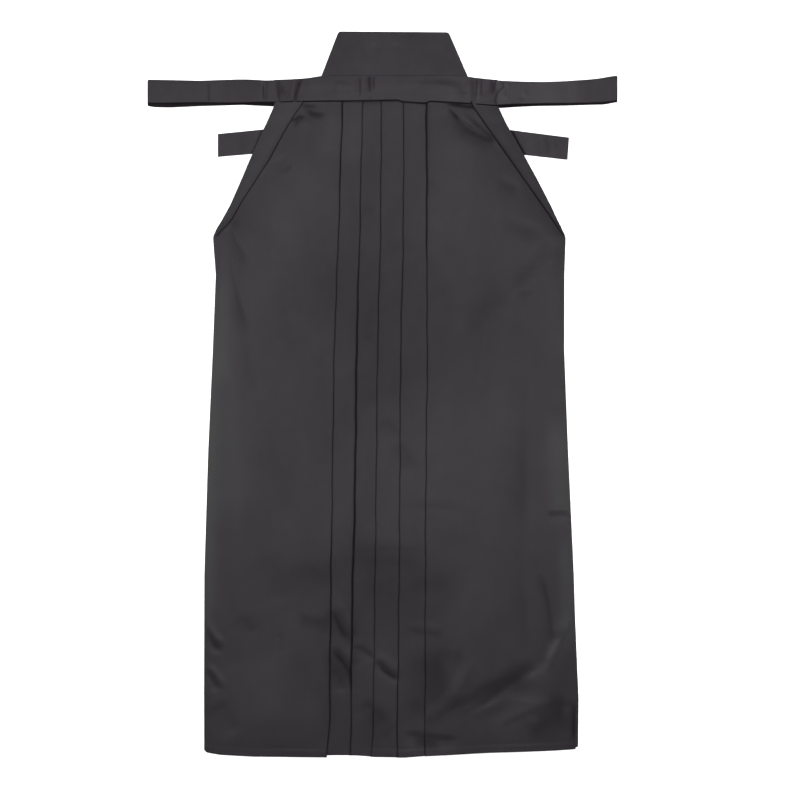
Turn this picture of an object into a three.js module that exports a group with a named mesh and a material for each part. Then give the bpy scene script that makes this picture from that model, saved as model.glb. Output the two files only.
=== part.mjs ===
// Hakama trousers, laid flat with the front side up.
//
// Millimetres, +Z up. The garment lies on the plane z = 0, its waist towards +Y and its hem towards -Y, with the origin
// at the middle of its outline. Right and left are the wearer's, so the wearer's right is on the -X side.
//
// Every piece of cloth is a wall of even thickness. A wall is lofted through rows, and each row is a folded path that
// is thickened to both sides. The panels are folded across X, so their rows are sections at a height Y. Layers lie a
// seam gap apart, each on a level of its own.

import * as THREE from 'three';

// ---- Driving dimensions ------------------------------------------------------------------------------------------

const CLOTH = 1.0; // wall of every layer of cloth
const GAP = 0.3; // between layers, and between pieces at a seam
const PITCH = CLOTH + GAP; // from one layer to the next
const CENTRE_X = 12; // centre seams of the front and of the back

const BOARD = { footY: 441.6, footRight: -99.2, footLeft: 135.5, topY: 531.6, topRight: -64.4, topLeft: 97.0 };
const BOARD_THICKNESS = 3.5;
const BOARD_CORNER = 3; // radius of its corners

const PANEL_TOP = 441; // raw top edge of the front panels, inside the band
const BAND_ENDS = { right: -158.4, left: 168.7 };

const FRONT_TIE = { endX: 344, settleX: 205, returnX: 152, returnDrop: 3 };
const TIE_JOIN = 3 * GAP; // from the end of the band to the start of a tie, whose foot clears the slanting side
const FRONT_TIE_EDGES = {
  right: [{ start: 459.2, settled: 461.0, end: 460.8 }, { start: 425.8, settled: 425.0, end: 424.9 }],
  left: [{ start: 459.0, settled: 457.7, end: 466.4 }, { start: 421.4, settled: 424.0, end: 428.0 }],
};

const BACK_TIE = { width: 35, rowY: 440, inward: { x: -0.58, y: -0.81 } };
const BACK_TAILS = {
  right: { tip: [{ x: -241.5, y: 381.6 }, { x: -241.5, y: 347.7 }], slope: 0.09, turnX: -150 },
  left: { tip: [{ x: 273.6, y: 376.3 }, { x: 271.4, y: 343.4 }], slope: -0.12, turnX: 160 },
};
const TAIL_DESCENT = { from: 0.68, to: 0.86 }; // the stretch of a tail where it comes down to the surface

const STRAIGHT_BACK_TOP = 441.3; // top edge of the back panels, a seam gap below the board
const BACK_PLEAT = { atWaist: 35, atHem: 60 }; // depth of the pleat at the centre back
const FRONT_PLEAT = { atWaist: 40, atHem: 62 }; // depth of every pleat of the front
const PLEAT_SHOULDER = 12; // flat stretch of a front panel past its deepest pleat
const HIDDEN_RISE = 4; // hidden pleat layers are this much shorter at the hem
const HEM_Y = -532; // foot of the tables; the hem itself follows its own outline
const LAST_LEVEL_Y = -500; // last straight section above the hem, where the pleats are deepest
const WAIST_RISE = { from: 396, to: 420 }; // where the front rises onto the back wall of the band
const SIDE_DROP = { from: 230, low: 3, to: 380, high: 1.8 }; // power of the drop to the sides, below and above slits

const GUSSET = { topY: 70, sideY: 0, footY: -90, halfWidth: 45 };

// ---- Levels: the height of the middle of a layer above the surface -------------------------------------------------

const FLOOR_LEVEL = CLOTH / 2;
const level = (n) => FLOOR_LEVEL + n * PITCH;
const BACK_LEVEL = level(0); // the back panels take levels 0 to 2
const GUSSET_LEVEL = level(3); // the gusset, and the back ties where they cross the board
const FRONT_LEVEL = level(4); // the lowest layer of the front
const WAIST_LEVEL = level(5); // the same inside the band, whose own back wall takes level 4

// ---- Tables: one row for each section ------------------------------------------------------------------------------

// Where the five fold edges of the front pleats run. a and b belong to the right leg, c, d and e to the left leg.
const PLEAT_LINES = [
  { y: 440, a: -57.6, b: -28.4, c: -1.8, d: 30.9, e: 63.5 },
  { y: 230, a: -64.0, b: -33.0, c: -3.0, d: 30.2, e: 64.1 },
  { y: 40, a: -70.6, b: -36.9, c: -7.7, d: 26.2, e: 65.2 },
  { y: -160, a: -73.4, b: -39.5, c: -9.8, d: 25.0, e: 62.9 },
  { y: -320, a: -75.2, b: -43.6, c: -11.8, d: 23.6, e: 62.3 },
  { y: -500, a: -77.0, b: -45.9, c: -14.0, d: 21.1, e: 61.8 },
  { y: HEM_Y, a: -83.0, b: -46.6, c: -18.0, d: 20.6, e: 61.6 },
];

// Outline of the front, right and left, and how high its edge lies.
const SIDES = [
  { y: PANEL_TOP, right: -157.9, left: 168.2, level: WAIST_LEVEL },
  { y: 424, right: -158.4, left: 168.7, level: WAIST_LEVEL },
  { y: 420, right: -159.2, left: 169.6, level: WAIST_LEVEL },
  { y: 396, right: -170.2, left: 181.3, level: FRONT_LEVEL },
  { y: 343, right: -194.4, left: 211.1, level: level(3.3) },
  { y: 312, right: -207.6, left: 228.1, level: level(2.6) },
  { y: 277, right: -223.1, left: 246.3, level: level(1.8) },
  { y: 254, right: -235.9, left: 257.2, level: level(1.3) },
  { y: 230, right: -248.5, left: 268.6, level: level(1) },
  { y: 175, right: -244.3, left: 266.6, level: level(1) },
  { y: 64, right: -248.7, left: 266.4, level: level(1) },
  { y: -82, right: -255.4, left: 272.0, level: level(1) },
  { y: -265, right: -261.1, left: 280.5, level: level(1) },
  { y: -449, right: -261.6, left: 286.0, level: level(1) },
  { y: HEM_Y, right: -261.6, left: 283.0, level: level(1) },
];

// Where the inner edges of the two side folds lie on the front, and below them a line just inside the side seams.
const SIDE_FOLDS = [
  { y: PANEL_TOP, right: -118.3, left: 131.3 },
  { y: 422, right: -117, left: 130 },
  { y: 384, right: -143, left: 157 },
  { y: 343, right: -165, left: 186 },
  { y: 280, right: -206.7, left: 231 },
  { y: 254, right: -221, left: 249.5 },
  { y: 230, right: -243.5, left: 263.6 },
  { y: 175, right: -239.0, left: 261.0 },
  { y: 64, right: -243.5, left: 261.0 },
  { y: -82, right: -250.0, left: 266.5 },
  { y: HEM_Y, right: -256.0, left: 277.5 },
];
const SIDE_FOLD_TOP = 420;
const SIDE_FOLD_FOOT = 232;

// Outline of the back, which follows the front below the side openings.
const BACK_SIDES = [
  { y: STRAIGHT_BACK_TOP, right: -98, left: 134 },
  { y: 230, right: -247.5, left: 267.6 },
  { y: 175, right: -244.3, left: 266.6 },
  { y: 64, right: -248.7, left: 266.4 },
  { y: -82, right: -255.4, left: 272.0 },
  { y: -265, right: -261.1, left: 280.5 },
  { y: -449, right: -261.6, left: 287.7 },
  { y: HEM_Y, right: -261.6, left: 287.0 },
];

// The hem, from the right side seam to the first fold edge, across the pleats, and on to the left side seam.
const HEM_RIGHT = [
  { x: -262, y: -523 }, { x: -238, y: -528.2 }, { x: -190, y: -530.3 }, { x: -83, y: -531.2 },
];
const HEM_PLEATS = [
  { x: -83, y: -526.1 }, { x: -55, y: -528.1 }, { x: -11, y: -531.0 }, { x: 33, y: -531.6 }, { x: 62, y: -529.4 },
];
const HEM_LEFT = [
  { x: 62, y: -529.4 }, { x: 92, y: -528.1 }, { x: 150, y: -524.7 }, { x: 253, y: -521.9 }, { x: 288, y: -519.5 },
];

// Lower edge of the waistband, its top fold, and the height of its front wall, which eases over the pleats.
const BAND = [
  { x: BAND_ENDS.right, foot: 426.0, top: 459.2, level: level(6.1) },
  { x: -134, foot: 426.6, top: 459.7, level: level(8.8) },
  { x: -119, foot: 426.8, top: 460.6, level: level(10) },
  { x: -109, foot: 426.9, top: 461.5, level: level(10) },
  { x: -91, foot: 427.0, top: 465.0, level: level(10) },
  { x: 24, foot: 428.0, top: 466.0, level: level(10) },
  { x: 56, foot: 425.5, top: 466.0, level: level(12) },
  { x: 119, foot: 423.5, top: 465.0, level: level(12) },
  { x: 132, foot: 423.0, top: 462.4, level: level(11.3) },
  { x: BAND_ENDS.left, foot: 421.0, top: 459.0, level: level(6.1) },
];

// Heights at which the panels have a section.
const FRONT_HEIGHTS = [
  PANEL_TOP, 430, 420, 408, 396, 384, 366, 343, 312, 280, 254, 242, 230, 175, 64, -82, -265, -449, LAST_LEVEL_Y,
];
const BACK_HEIGHTS = [STRAIGHT_BACK_TOP, 400, 300, 230, 175, 64, -82, -265, -449, LAST_LEVEL_Y];

// ---- Reading the tables --------------------------------------------------------------------------------------------

const { lerp, clamp, mapLinear } = THREE.MathUtils;

// A column's value at a place along another column, straight between rows and level past the ends.
function read(table, along, place, column) {
  const rows = [...table].sort((p, q) => p[along] - q[along]);
  const next = rows.findIndex((row) => row[along] >= place);
  if (next === 0) return rows[0][column];
  if (next < 0) return rows[rows.length - 1][column];
  const [low, high] = [rows[next - 1], rows[next]];
  return mapLinear(place, low[along], high[along], low[column], high[column]);
}

// ---- Walls of cloth ------------------------------------------------------------------------------------------------

// Moves a folded path sideways in the plane of across ('x' or 'y') and z, with square corners where it folds.
function offsetPath(path, across, distance) {
  return path.map((point, i) => {
    const normals = [];
    for (const [from, to] of [[path[i - 1], point], [point, path[i + 1]]]) {
      if (!from || !to) continue;
      const run = to[across] - from[across];
      const rise = to.z - from.z;
      const length = Math.hypot(run, rise);
      normals.push({ across: -rise / length, z: run / length });
    }
    const [first, second = first] = normals;
    const mitre = distance / (1 + first.across * second.across + first.z * second.z);
    return {
      ...point,
      [across]: point[across] + mitre * (first.across + second.across),
      z: point.z + mitre * (first.z + second.z),
    };
  });
}

// A closed wall through rows of points. Every row is one folded path, and all have the same number of points.
function wall(rows, across = 'x', thickness = CLOTH) {
  const rings = rows.map((path) => [
    ...offsetPath(path, across, thickness / 2),
    ...offsetPath(path, across, -thickness / 2).reverse(),
  ]);
  const size = rings[0].length;
  const vertices = rings.flat().flatMap((point) => [point.x, point.y, point.z]);
  const triangles = [];
  const quad = (p, q, r, s) => triangles.push(p, q, r, p, r, s);
  for (let row = 0; row + 1 < rings.length; row += 1) {
    for (let i = 0; i < size; i += 1) {
      const next = (i + 1) % size;
      const corners = [row * size + i, row * size + next, (row + 1) * size + next, (row + 1) * size + i];
      if (i >= size / 2) corners.push(corners.shift()); // so that both faces of the wall split along the same diagonals
      quad(...corners);
    }
  }
  const last = (rings.length - 1) * size;
  for (let i = 0; i + 1 < size / 2; i += 1) {
    quad(size - 1 - i, size - 2 - i, i + 1, i);
    quad(last + i, last + i + 1, last + size - 2 - i, last + size - 1 - i);
  }
  const geometry = new THREE.BufferGeometry();
  geometry.setAttribute('position', new THREE.Float32BufferAttribute(vertices, 3));
  geometry.setIndex(signedVolume(vertices, triangles) < 0 ? triangles.reverse() : triangles);
  geometry.computeVertexNormals();
  return geometry;
}

function signedVolume(vertices, triangles) {
  const corner = (i) => new THREE.Vector3().fromArray(vertices, 3 * i);
  let volume = 0;
  for (let i = 0; i < triangles.length; i += 3) {
    const [p, q, r] = triangles.slice(i, i + 3).map(corner);
    volume += p.dot(q.cross(r)) / 6;
  }
  return volume;
}

// ---- Front panels --------------------------------------------------------------------------------------------------

const LEGS = {
  right: { outward: -1, folds: ['b', 'a'], hem: HEM_RIGHT },
  left: { outward: 1, folds: ['c', 'd', 'e'], hem: HEM_LEFT },
};

// One section of a front panel: from the centre seam, in and out of its pleats, then down over its side to the edge.
function frontSection(side, y, isHem = false) {
  const { outward, folds, hem } = LEGS[side];
  const depth = mapLinear(y, PANEL_TOP, LAST_LEVEL_Y, FRONT_PLEAT.atWaist, FRONT_PLEAT.atHem);
  const waistShare = clamp(mapLinear(y, WAIST_RISE.from, WAIST_RISE.to, 0, 1), 0, 1);
  const path = [];
  let z = lerp(FRONT_LEVEL, WAIST_LEVEL, waistShare);
  const add = (x, hidden, height = z) => {
    const hemTable = path.length > 4 * folds.length ? hem : HEM_PLEATS;
    path.push({ x, z: height, y: isHem ? read(hemTable, 'x', x, 'y') + (hidden ? HIDDEN_RISE : 0) : y });
  };
  add(CENTRE_X + (outward * GAP) / 2, true);
  for (const fold of folds) {
    const edge = read(PLEAT_LINES, 'y', y, fold) + (outward * CLOTH) / 2;
    const back = edge + outward * depth;
    add(back, true);
    z += PITCH;
    add(back, true);
    add(edge, false);
    z += PITCH;
    add(edge, false);
  }
  const shoulder = path[path.length - 3].x + outward * PLEAT_SHOULDER;
  const inner = read(SIDE_FOLDS, 'y', y, side);
  const edge = read(SIDES, 'y', y, side);
  const edgeLevel = read(SIDES, 'y', y, 'level');
  const top = z;
  const power = lerp(SIDE_DROP.low, SIDE_DROP.high, clamp(mapLinear(y, SIDE_DROP.from, SIDE_DROP.to, 0, 1), 0, 1));
  const drop = (x) => ((x - shoulder) / (edge - shoulder)) ** power;
  const stretch = [shoulder, lerp(shoulder, inner, 1 / 3), lerp(shoulder, inner, 2 / 3), inner, edge];
  for (const x of stretch) add(x, false, lerp(top, edgeLevel, drop(x)));
  return path;
}

function frontPanel(side) {
  const rows = FRONT_HEIGHTS.map((y) => frontSection(side, y));
  return wall([...rows, frontSection(side, HEM_Y, true)]);
}

// A side fold lies on the last stretch of the front panel, so it takes that stretch's points, moved up by a layer.
function sideFold(side) {
  const heights = FRONT_HEIGHTS.filter((y) => y <= SIDE_FOLD_TOP && y > SIDE_FOLD_FOOT);
  const rows = [...heights, SIDE_FOLD_FOOT].map((y) =>
    frontSection(side, y).slice(-2).map((point) => ({ ...point, z: point.z + PITCH })),
  );
  return wall(rows);
}

// ---- Back panels and gusset ----------------------------------------------------------------------------------------

// One section of a back panel: along the floor from the side seam to the centre, and twice across inside the pleat.
function backSection(side, y, isHem = false) {
  const { outward, hem } = LEGS[side];
  const depth = mapLinear(y, STRAIGHT_BACK_TOP, LAST_LEVEL_Y, BACK_PLEAT.atWaist, BACK_PLEAT.atHem);
  const centre = CENTRE_X + (outward * GAP) / 2 + (outward * CLOTH) / 2;
  const inside = centre + outward * depth;
  const edge = read(BACK_SIDES, 'y', y, side);
  const hemAt = (x) => read(Math.abs(x - CENTRE_X) < depth + 1 ? HEM_PLEATS : hem, 'x', x, 'y') + HIDDEN_RISE / 2;
  return [
    { x: edge, z: BACK_LEVEL },
    { x: lerp(edge, inside, 0.5), z: BACK_LEVEL },
    { x: centre, z: BACK_LEVEL },
    { x: centre, z: BACK_LEVEL + PITCH },
    { x: inside, z: BACK_LEVEL + PITCH },
    { x: inside, z: BACK_LEVEL + 2 * PITCH },
    { x: centre, z: BACK_LEVEL + 2 * PITCH },
  ].map((point) => ({ ...point, y: isHem ? hemAt(point.x) : y }));
}

function backPanel(side) {
  const rows = BACK_HEIGHTS.map((y) => backSection(side, y));
  return wall([...rows, backSection(side, HEM_Y, true)]);
}

// A kite between the front and the back, where the inner legs meet.
function crotchGusset() {
  const { topY, sideY, footY, halfWidth } = GUSSET;
  const kite = new THREE.Shape([
    new THREE.Vector2(CENTRE_X, topY),
    new THREE.Vector2(CENTRE_X - halfWidth, sideY),
    new THREE.Vector2(CENTRE_X, footY),
    new THREE.Vector2(CENTRE_X + halfWidth, sideY),
  ]);
  const geometry = new THREE.ExtrudeGeometry(kite, { depth: CLOTH, bevelEnabled: false });
  return geometry.translate(0, 0, GUSSET_LEVEL - CLOTH / 2);
}

// ---- Waist -----------------------------------------------------------------------------------------------------------

// The board at the back of the waist: a trapezoid with its corners rounded.
function backBoard() {
  const corners = [
    new THREE.Vector2(BOARD.footRight, BOARD.footY),
    new THREE.Vector2(BOARD.footLeft, BOARD.footY),
    new THREE.Vector2(BOARD.topLeft, BOARD.topY),
    new THREE.Vector2(BOARD.topRight, BOARD.topY),
  ];
  const outline = new THREE.Shape();
  corners.forEach((corner, i) => {
    const before = corners[(i + 3) % 4];
    const after = corners[(i + 1) % 4];
    const start = corner.clone().add(before.clone().sub(corner).setLength(BOARD_CORNER));
    const end = corner.clone().add(after.clone().sub(corner).setLength(BOARD_CORNER));
    if (i === 0) outline.moveTo(start.x, start.y);
    else outline.lineTo(start.x, start.y);
    outline.quadraticCurveTo(corner.x, corner.y, end.x, end.y);
  });
  outline.closePath();
  return new THREE.ExtrudeGeometry(outline, { depth: BOARD_THICKNESS, bevelEnabled: false, curveSegments: 4 });
}

// The front waistband is folded over the top edge of the front: its back wall, the fold, then its front wall, which
// comes down from the pleats to the fold.
function frontWaistband() {
  const rows = BAND.map((station) => {
    const topY = station.top - CLOTH / 2;
    return [
      { x: station.x, y: station.foot + 2, z: FRONT_LEVEL },
      { x: station.x, y: topY, z: FRONT_LEVEL },
      { x: station.x, y: topY, z: WAIST_LEVEL },
      { x: station.x, y: PANEL_TOP + 2, z: station.level },
      { x: station.x, y: station.foot, z: station.level },
    ];
  });
  return wall(rows, 'y');
}

// ---- Ties ------------------------------------------------------------------------------------------------------------

// A front tie runs out from the end of the band, comes down to the surface, folds under at its outer end and returns.
function frontTie(side) {
  const { outward } = LEGS[side];
  const start = BAND_ENDS[side] + outward * TIE_JOIN;
  const turn = outward * (FRONT_TIE.endX - CLOTH / 2);
  const rows = FRONT_TIE_EDGES[side].map((edge) => [
    { x: start, y: edge.start, z: WAIST_LEVEL },
    { x: lerp(start, outward * FRONT_TIE.settleX, 0.5), y: lerp(edge.start, edge.settled, 0.5), z: level(3) },
    { x: outward * FRONT_TIE.settleX, y: edge.settled, z: level(1) },
    { x: turn, y: edge.end, z: level(1) },
    { x: turn, y: edge.end, z: level(0) },
    { x: outward * FRONT_TIE.settleX, y: edge.settled - FRONT_TIE.returnDrop, z: level(0) },
    { x: outward * FRONT_TIE.returnX, y: edge.settled - FRONT_TIE.returnDrop, z: level(0) },
  ]);
  return wall(rows);
}

// The two ends of a slanting fold across a strip that comes in along one direction and leaves along another.
function foldEnds(centre, incoming, outgoing, width) {
  const along = incoming.clone().add(outgoing).normalize();
  if (along.y < 0) along.negate();
  const reach = width / 2 / Math.abs(along.cross(incoming));
  return [centre.clone().addScaledVector(along, reach), centre.clone().addScaledVector(along, -reach)];
}

// A back tie is sewn across the foot of the board, turns down and in under itself, then out again past the side.
function backTie(side) {
  const { outward } = LEGS[side];
  const { width, rowY } = BACK_TIE;
  const { slope, turnX } = BACK_TAILS[side];
  const tips = BACK_TAILS[side].tip.map(({ x, y }) => new THREE.Vector2(x, y));
  const out = new THREE.Vector2(outward, 0);
  const inward = new THREE.Vector2(BACK_TIE.inward.x * outward, BACK_TIE.inward.y).normalize();
  const away = new THREE.Vector2(outward, outward * slope).normalize();
  const turn = new THREE.Vector2(turnX, rowY);
  const tip = tips[0].clone().lerp(tips[1], 0.5);
  const toTip = tip.clone().sub(turn);
  const secondTurn = turn.clone().addScaledVector(inward, toTip.cross(away) / inward.cross(away));
  const turnEnds = foldEnds(turn, out, inward, width);
  const secondEnds = foldEnds(secondTurn, inward, away, width);
  const rows = [0, 1].map((i) => {
    const seamY = rowY + (i === 0 ? width / 2 : -width / 2);
    const point = (place, n) => ({ x: place.x, y: place.y, z: level(n) });
    const alongTail = (share) => secondEnds[i].clone().lerp(tips[i], share);
    return [
      { x: CENTRE_X + outward * GAP, y: seamY, z: level(3) },
      point(turnEnds[i], 3),
      point(turnEnds[i], 2),
      point(secondEnds[i], 2),
      point(secondEnds[i], 1),
      point(alongTail(TAIL_DESCENT.from), 1),
      point(alongTail(TAIL_DESCENT.to), 0),
      point(alongTail(1), 0),
    ];
  });
  return wall(rows);
}

// ---- Assembly --------------------------------------------------------------------------------------------------------

const hakama = new THREE.Group();
const cloth = { color: '#3e3c3f', roughness: 0.86, metalness: 0 };
const tieCloth = { ...cloth, color: '#454145' };

function addPiece(name, geometry, finish = cloth) {
  const piece = new THREE.Mesh(geometry, new THREE.MeshStandardMaterial(finish));
  piece.name = name;
  hakama.add(piece);
}

for (const side of ['right', 'left']) {
  addPiece(`back_panel_${side}`, backPanel(side));
  addPiece(`back_tie_${side}`, backTie(side), tieCloth);
  addPiece(`front_panel_${side}`, frontPanel(side));
  addPiece(`side_fold_${side}`, sideFold(side));
  addPiece(`front_tie_${side}`, frontTie(side), tieCloth);
}
addPiece('crotch_gusset', crotchGusset());
addPiece('back_board', backBoard());
addPiece('front_waistband', frontWaistband(), tieCloth);

export default hakama;
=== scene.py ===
# %% [markdown]
# # Hakama trousers, laid flat
# Hakama are wide pleated trousers. This pair lies on a table, front side up, with every layer of
# cloth on the one below. Blender builds the cloth around a fixed frame: a plain solid for each sewn
# piece, at its real size. Each piece here replaces one of those solids and keeps its place, its
# layers and its outline. Two rows of stitches are added to them.

# %% Load the frame
import math

import bpy
import numpy as np
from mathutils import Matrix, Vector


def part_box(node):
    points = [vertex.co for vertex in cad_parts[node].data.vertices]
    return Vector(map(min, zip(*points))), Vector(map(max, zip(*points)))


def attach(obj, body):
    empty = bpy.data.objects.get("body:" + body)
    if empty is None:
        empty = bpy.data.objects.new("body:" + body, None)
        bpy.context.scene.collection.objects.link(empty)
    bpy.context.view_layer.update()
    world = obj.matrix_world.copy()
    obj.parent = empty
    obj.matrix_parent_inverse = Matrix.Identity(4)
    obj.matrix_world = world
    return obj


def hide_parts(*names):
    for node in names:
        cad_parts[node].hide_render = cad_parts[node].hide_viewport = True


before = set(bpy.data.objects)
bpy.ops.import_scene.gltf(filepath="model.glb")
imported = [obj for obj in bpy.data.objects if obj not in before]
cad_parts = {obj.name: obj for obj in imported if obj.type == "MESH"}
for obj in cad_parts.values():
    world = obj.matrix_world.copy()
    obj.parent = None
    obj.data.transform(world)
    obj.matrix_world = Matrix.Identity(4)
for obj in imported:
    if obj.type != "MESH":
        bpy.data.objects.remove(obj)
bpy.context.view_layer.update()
bpy.ops.object.select_all(action="DESELECT")
print("sewn pieces in the frame:", sorted(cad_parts))

# %% [markdown]
# ## Camera, table and light
# The garment is looked at from straight above, from far off, so that its outline isn't widened by
# perspective. A long lens does that. The light is soft: one panel overhead, one beyond the waist
# and one at each side. Level cloth mirrors the overhead panel and shows its faint satin, and
# creases show by the slopes that turn away from it. A single hard lamp would be simpler, but it
# would hide half of the creases in shadow.

# %% Camera straight above
MM = 0.001
VIEW_WIDTH = 1.1737
VIEW_CENTRE = (0.0257, -0.0088)
LENS_MM = 90
SENSOR_MM = 36

bpy.ops.object.camera_add(location=(*VIEW_CENTRE, VIEW_WIDTH * LENS_MM / SENSOR_MM), rotation=(0, 0, 0))
camera = bpy.context.object
camera.name = "camera_above"
camera.data.lens = LENS_MM
camera.data.sensor_width = SENSOR_MM
bpy.context.scene.camera = camera

# %% Table
TABLE_SIZE = 12.0
TABLE_DROP = 0.0003

bpy.ops.mesh.primitive_plane_add(size=TABLE_SIZE, location=(0, 0, -TABLE_DROP))
table_top = bpy.context.object
table_top.name = "table_top"
table_finish = bpy.data.materials.new("pale_table")
table_finish.use_nodes = True
table_shader = table_finish.node_tree.nodes["Principled BSDF"]
table_shader.inputs["Base Color"].default_value = (0.86, 0.86, 0.86, 1)
table_shader.inputs["Roughness"].default_value = 0.9
table_shader.inputs["Specular IOR Level"].default_value = 0.1
table_shader.inputs["Emission Color"].default_value = (1, 1, 1, 1)
table_shader.inputs["Emission Strength"].default_value = 0.35
table_top.data.materials.append(table_finish)

# %% Soft lights
def soft_light(name, place, width, height, watts):
    """A rectangular panel of light that faces the middle of the garment."""
    bpy.ops.object.light_add(type="AREA", location=place)
    panel = bpy.context.object
    panel.name = name
    panel.data.shape = "RECTANGLE"
    panel.data.size = width
    panel.data.size_y = height
    panel.data.energy = watts
    panel.rotation_euler = (-panel.location).to_track_quat("-Z", "Y").to_euler()
    panel.visible_camera = False


soft_light("light_overhead", (0.0, 0.3, 3.5), width=1.3, height=2.3, watts=59)
soft_light("light_beyond_waist", (0.0, 2.4, 2.5), width=2.2, height=1.1, watts=52)
soft_light("light_right_side", (-1.7, 0.1, 2.9), width=1.0, height=2.2, watts=60)
soft_light("light_left_side", (1.7, 0.1, 2.9), width=1.0, height=2.2, watts=54)

world = bpy.data.worlds.new("pale_room")
world.use_nodes = True
world.node_tree.nodes["Background"].inputs["Color"].default_value = (1, 1, 1, 1)
world.node_tree.nodes["Background"].inputs["Strength"].default_value = 0.2
bpy.context.scene.world = world
bpy.context.scene.view_settings.view_transform = "Standard"
print("camera at", tuple(round(value, 4) for value in camera.location), "with four soft lights")

# %% [markdown]
# ## The cloth
# It is a plain-woven charcoal cloth with a faint sheen. Its threads are about half a millimetre
# apart, so the weave is a bump in the cut's own coordinates: the UV map of every piece holds metres
# along the cloth, and the threads follow each pleat round its fold. The tone drifts over the cloth,
# in clouds, in faint streaks along the warp and in a fine slub. Weave and drift are node groups,
# because three finishes share them.

# %% Weave group
def node_group(name, inputs, outputs):
    """A new shader node group. Inputs are title, kind and default, and outputs are title and kind."""
    group = bpy.data.node_groups.new(name, "ShaderNodeTree")
    for title, kind, default in inputs:
        socket = group.interface.new_socket(name=title, in_out="INPUT", socket_type=kind)
        if default is not None:
            socket.default_value = default
    for title, kind in outputs:
        group.interface.new_socket(name=title, in_out="OUTPUT", socket_type=kind)
    start = group.nodes.new("NodeGroupInput")
    end = group.nodes.new("NodeGroupOutput")
    return group, start, end


def maths(tree, operation, *values):
    """A Math node whose inputs are numbers or sockets. It returns its output socket."""
    node = tree.nodes.new("ShaderNodeMath")
    node.operation = operation
    for socket, value in zip(node.inputs, values):
        if isinstance(value, (int, float)):
            socket.default_value = value
        else:
            tree.links.new(value, socket)
    return node.outputs[0]


def weave_group():
    """Plain weave: warp and weft pass over each other by turns, so the height is a product of two waves."""
    group, start, end = node_group(
        "plain_weave",
        [("Cut", "NodeSocketVector", None), ("Thread", "NodeSocketFloat", 0.0005)],
        [("Height", "NodeSocketFloat")],
    )
    split = group.nodes.new("ShaderNodeSeparateXYZ")
    group.links.new(start.outputs["Cut"], split.inputs[0])
    turns = maths(group, "DIVIDE", math.pi, start.outputs["Thread"])
    warp = maths(group, "SINE", maths(group, "MULTIPLY", split.outputs["X"], turns))
    weft = maths(group, "SINE", maths(group, "MULTIPLY", split.outputs["Y"], turns))
    crossing = maths(group, "MULTIPLY", warp, weft)
    group.links.new(maths(group, "MULTIPLY_ADD", crossing, 0.5, 0.5), end.inputs["Height"])
    return group


def drift_group():
    """How the tone drifts, from 0 to 1. Each noise is given as its coordinates, its scale and its share."""
    group, start, end = node_group(
        "tone_drift",
        [("Cut", "NodeSocketVector", None), ("Place", "NodeSocketVector", None)],
        [("Tone", "NodeSocketFloat")],
    )
    total = None
    for source, scale, share in (
        ("Place", (5, 4, 5), 0.42),
        ("Place", (17, 9, 17), 0.24),
        ("Place", (52, 44, 52), 0.18),
        ("Cut", (90, 6, 1), 0.08),
        ("Cut", (700, 60, 1), 0.08),
    ):
        mapping = group.nodes.new("ShaderNodeMapping")
        mapping.inputs["Scale"].default_value = scale
        noise = group.nodes.new("ShaderNodeTexNoise")
        noise.inputs["Scale"].default_value = 1
        noise.inputs["Detail"].default_value = 2
        group.links.new(start.outputs[source], mapping.inputs["Vector"])
        group.links.new(mapping.outputs[0], noise.inputs["Vector"])
        part = maths(group, "MULTIPLY", noise.outputs[0], share)
        total = part if total is None else maths(group, "ADD", total, part)
    group.links.new(total, end.inputs["Tone"])
    return group


WEAVE = weave_group()
DRIFT = drift_group()
print("node groups:", WEAVE.name, DRIFT.name)

# %% [markdown]
# ## Painted shade and sheen
# Shade and sheen are also painted into the cloth's colour: dark lines of painted shade in folds, along
# creases and under edges, and paler painted sheen down the sides. The weave can't give them, so every
# sheet carries an attribute for them. Below zero it takes the tone past the dark colour as painted
# shade, and dulls the cloth. Above zero it mixes in a lighter grey as painted sheen. The three
# finishes differ in their colours only a little: the cloth, the stiffer ties, and the board.

# %% Mixing colours
def blend(tree, share, first, second):
    """Mixes two colours, each a triple or a socket, and goes beyond them where the share leaves 0 to 1."""
    node = tree.nodes.new("ShaderNodeMix")
    node.data_type = "RGBA"
    node.clamp_factor = False
    tree.links.new(share, node.inputs["Factor"])
    for title, colour in (("A", first), ("B", second)):
        if isinstance(colour, tuple):
            node.inputs[title].default_value = (*colour, 1)
        else:
            tree.links.new(colour, node.inputs[title])
    return node.outputs["Result"]


# %% Cloth finishes
THREAD = 0.0005
WEAVE_DEPTH = 0.00012
SHADE_DARKENING = 0.85
FOLD_DULLING = -0.13
SHEEN_SHARE = 0.25
PALE_GLOSS = -0.04


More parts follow.
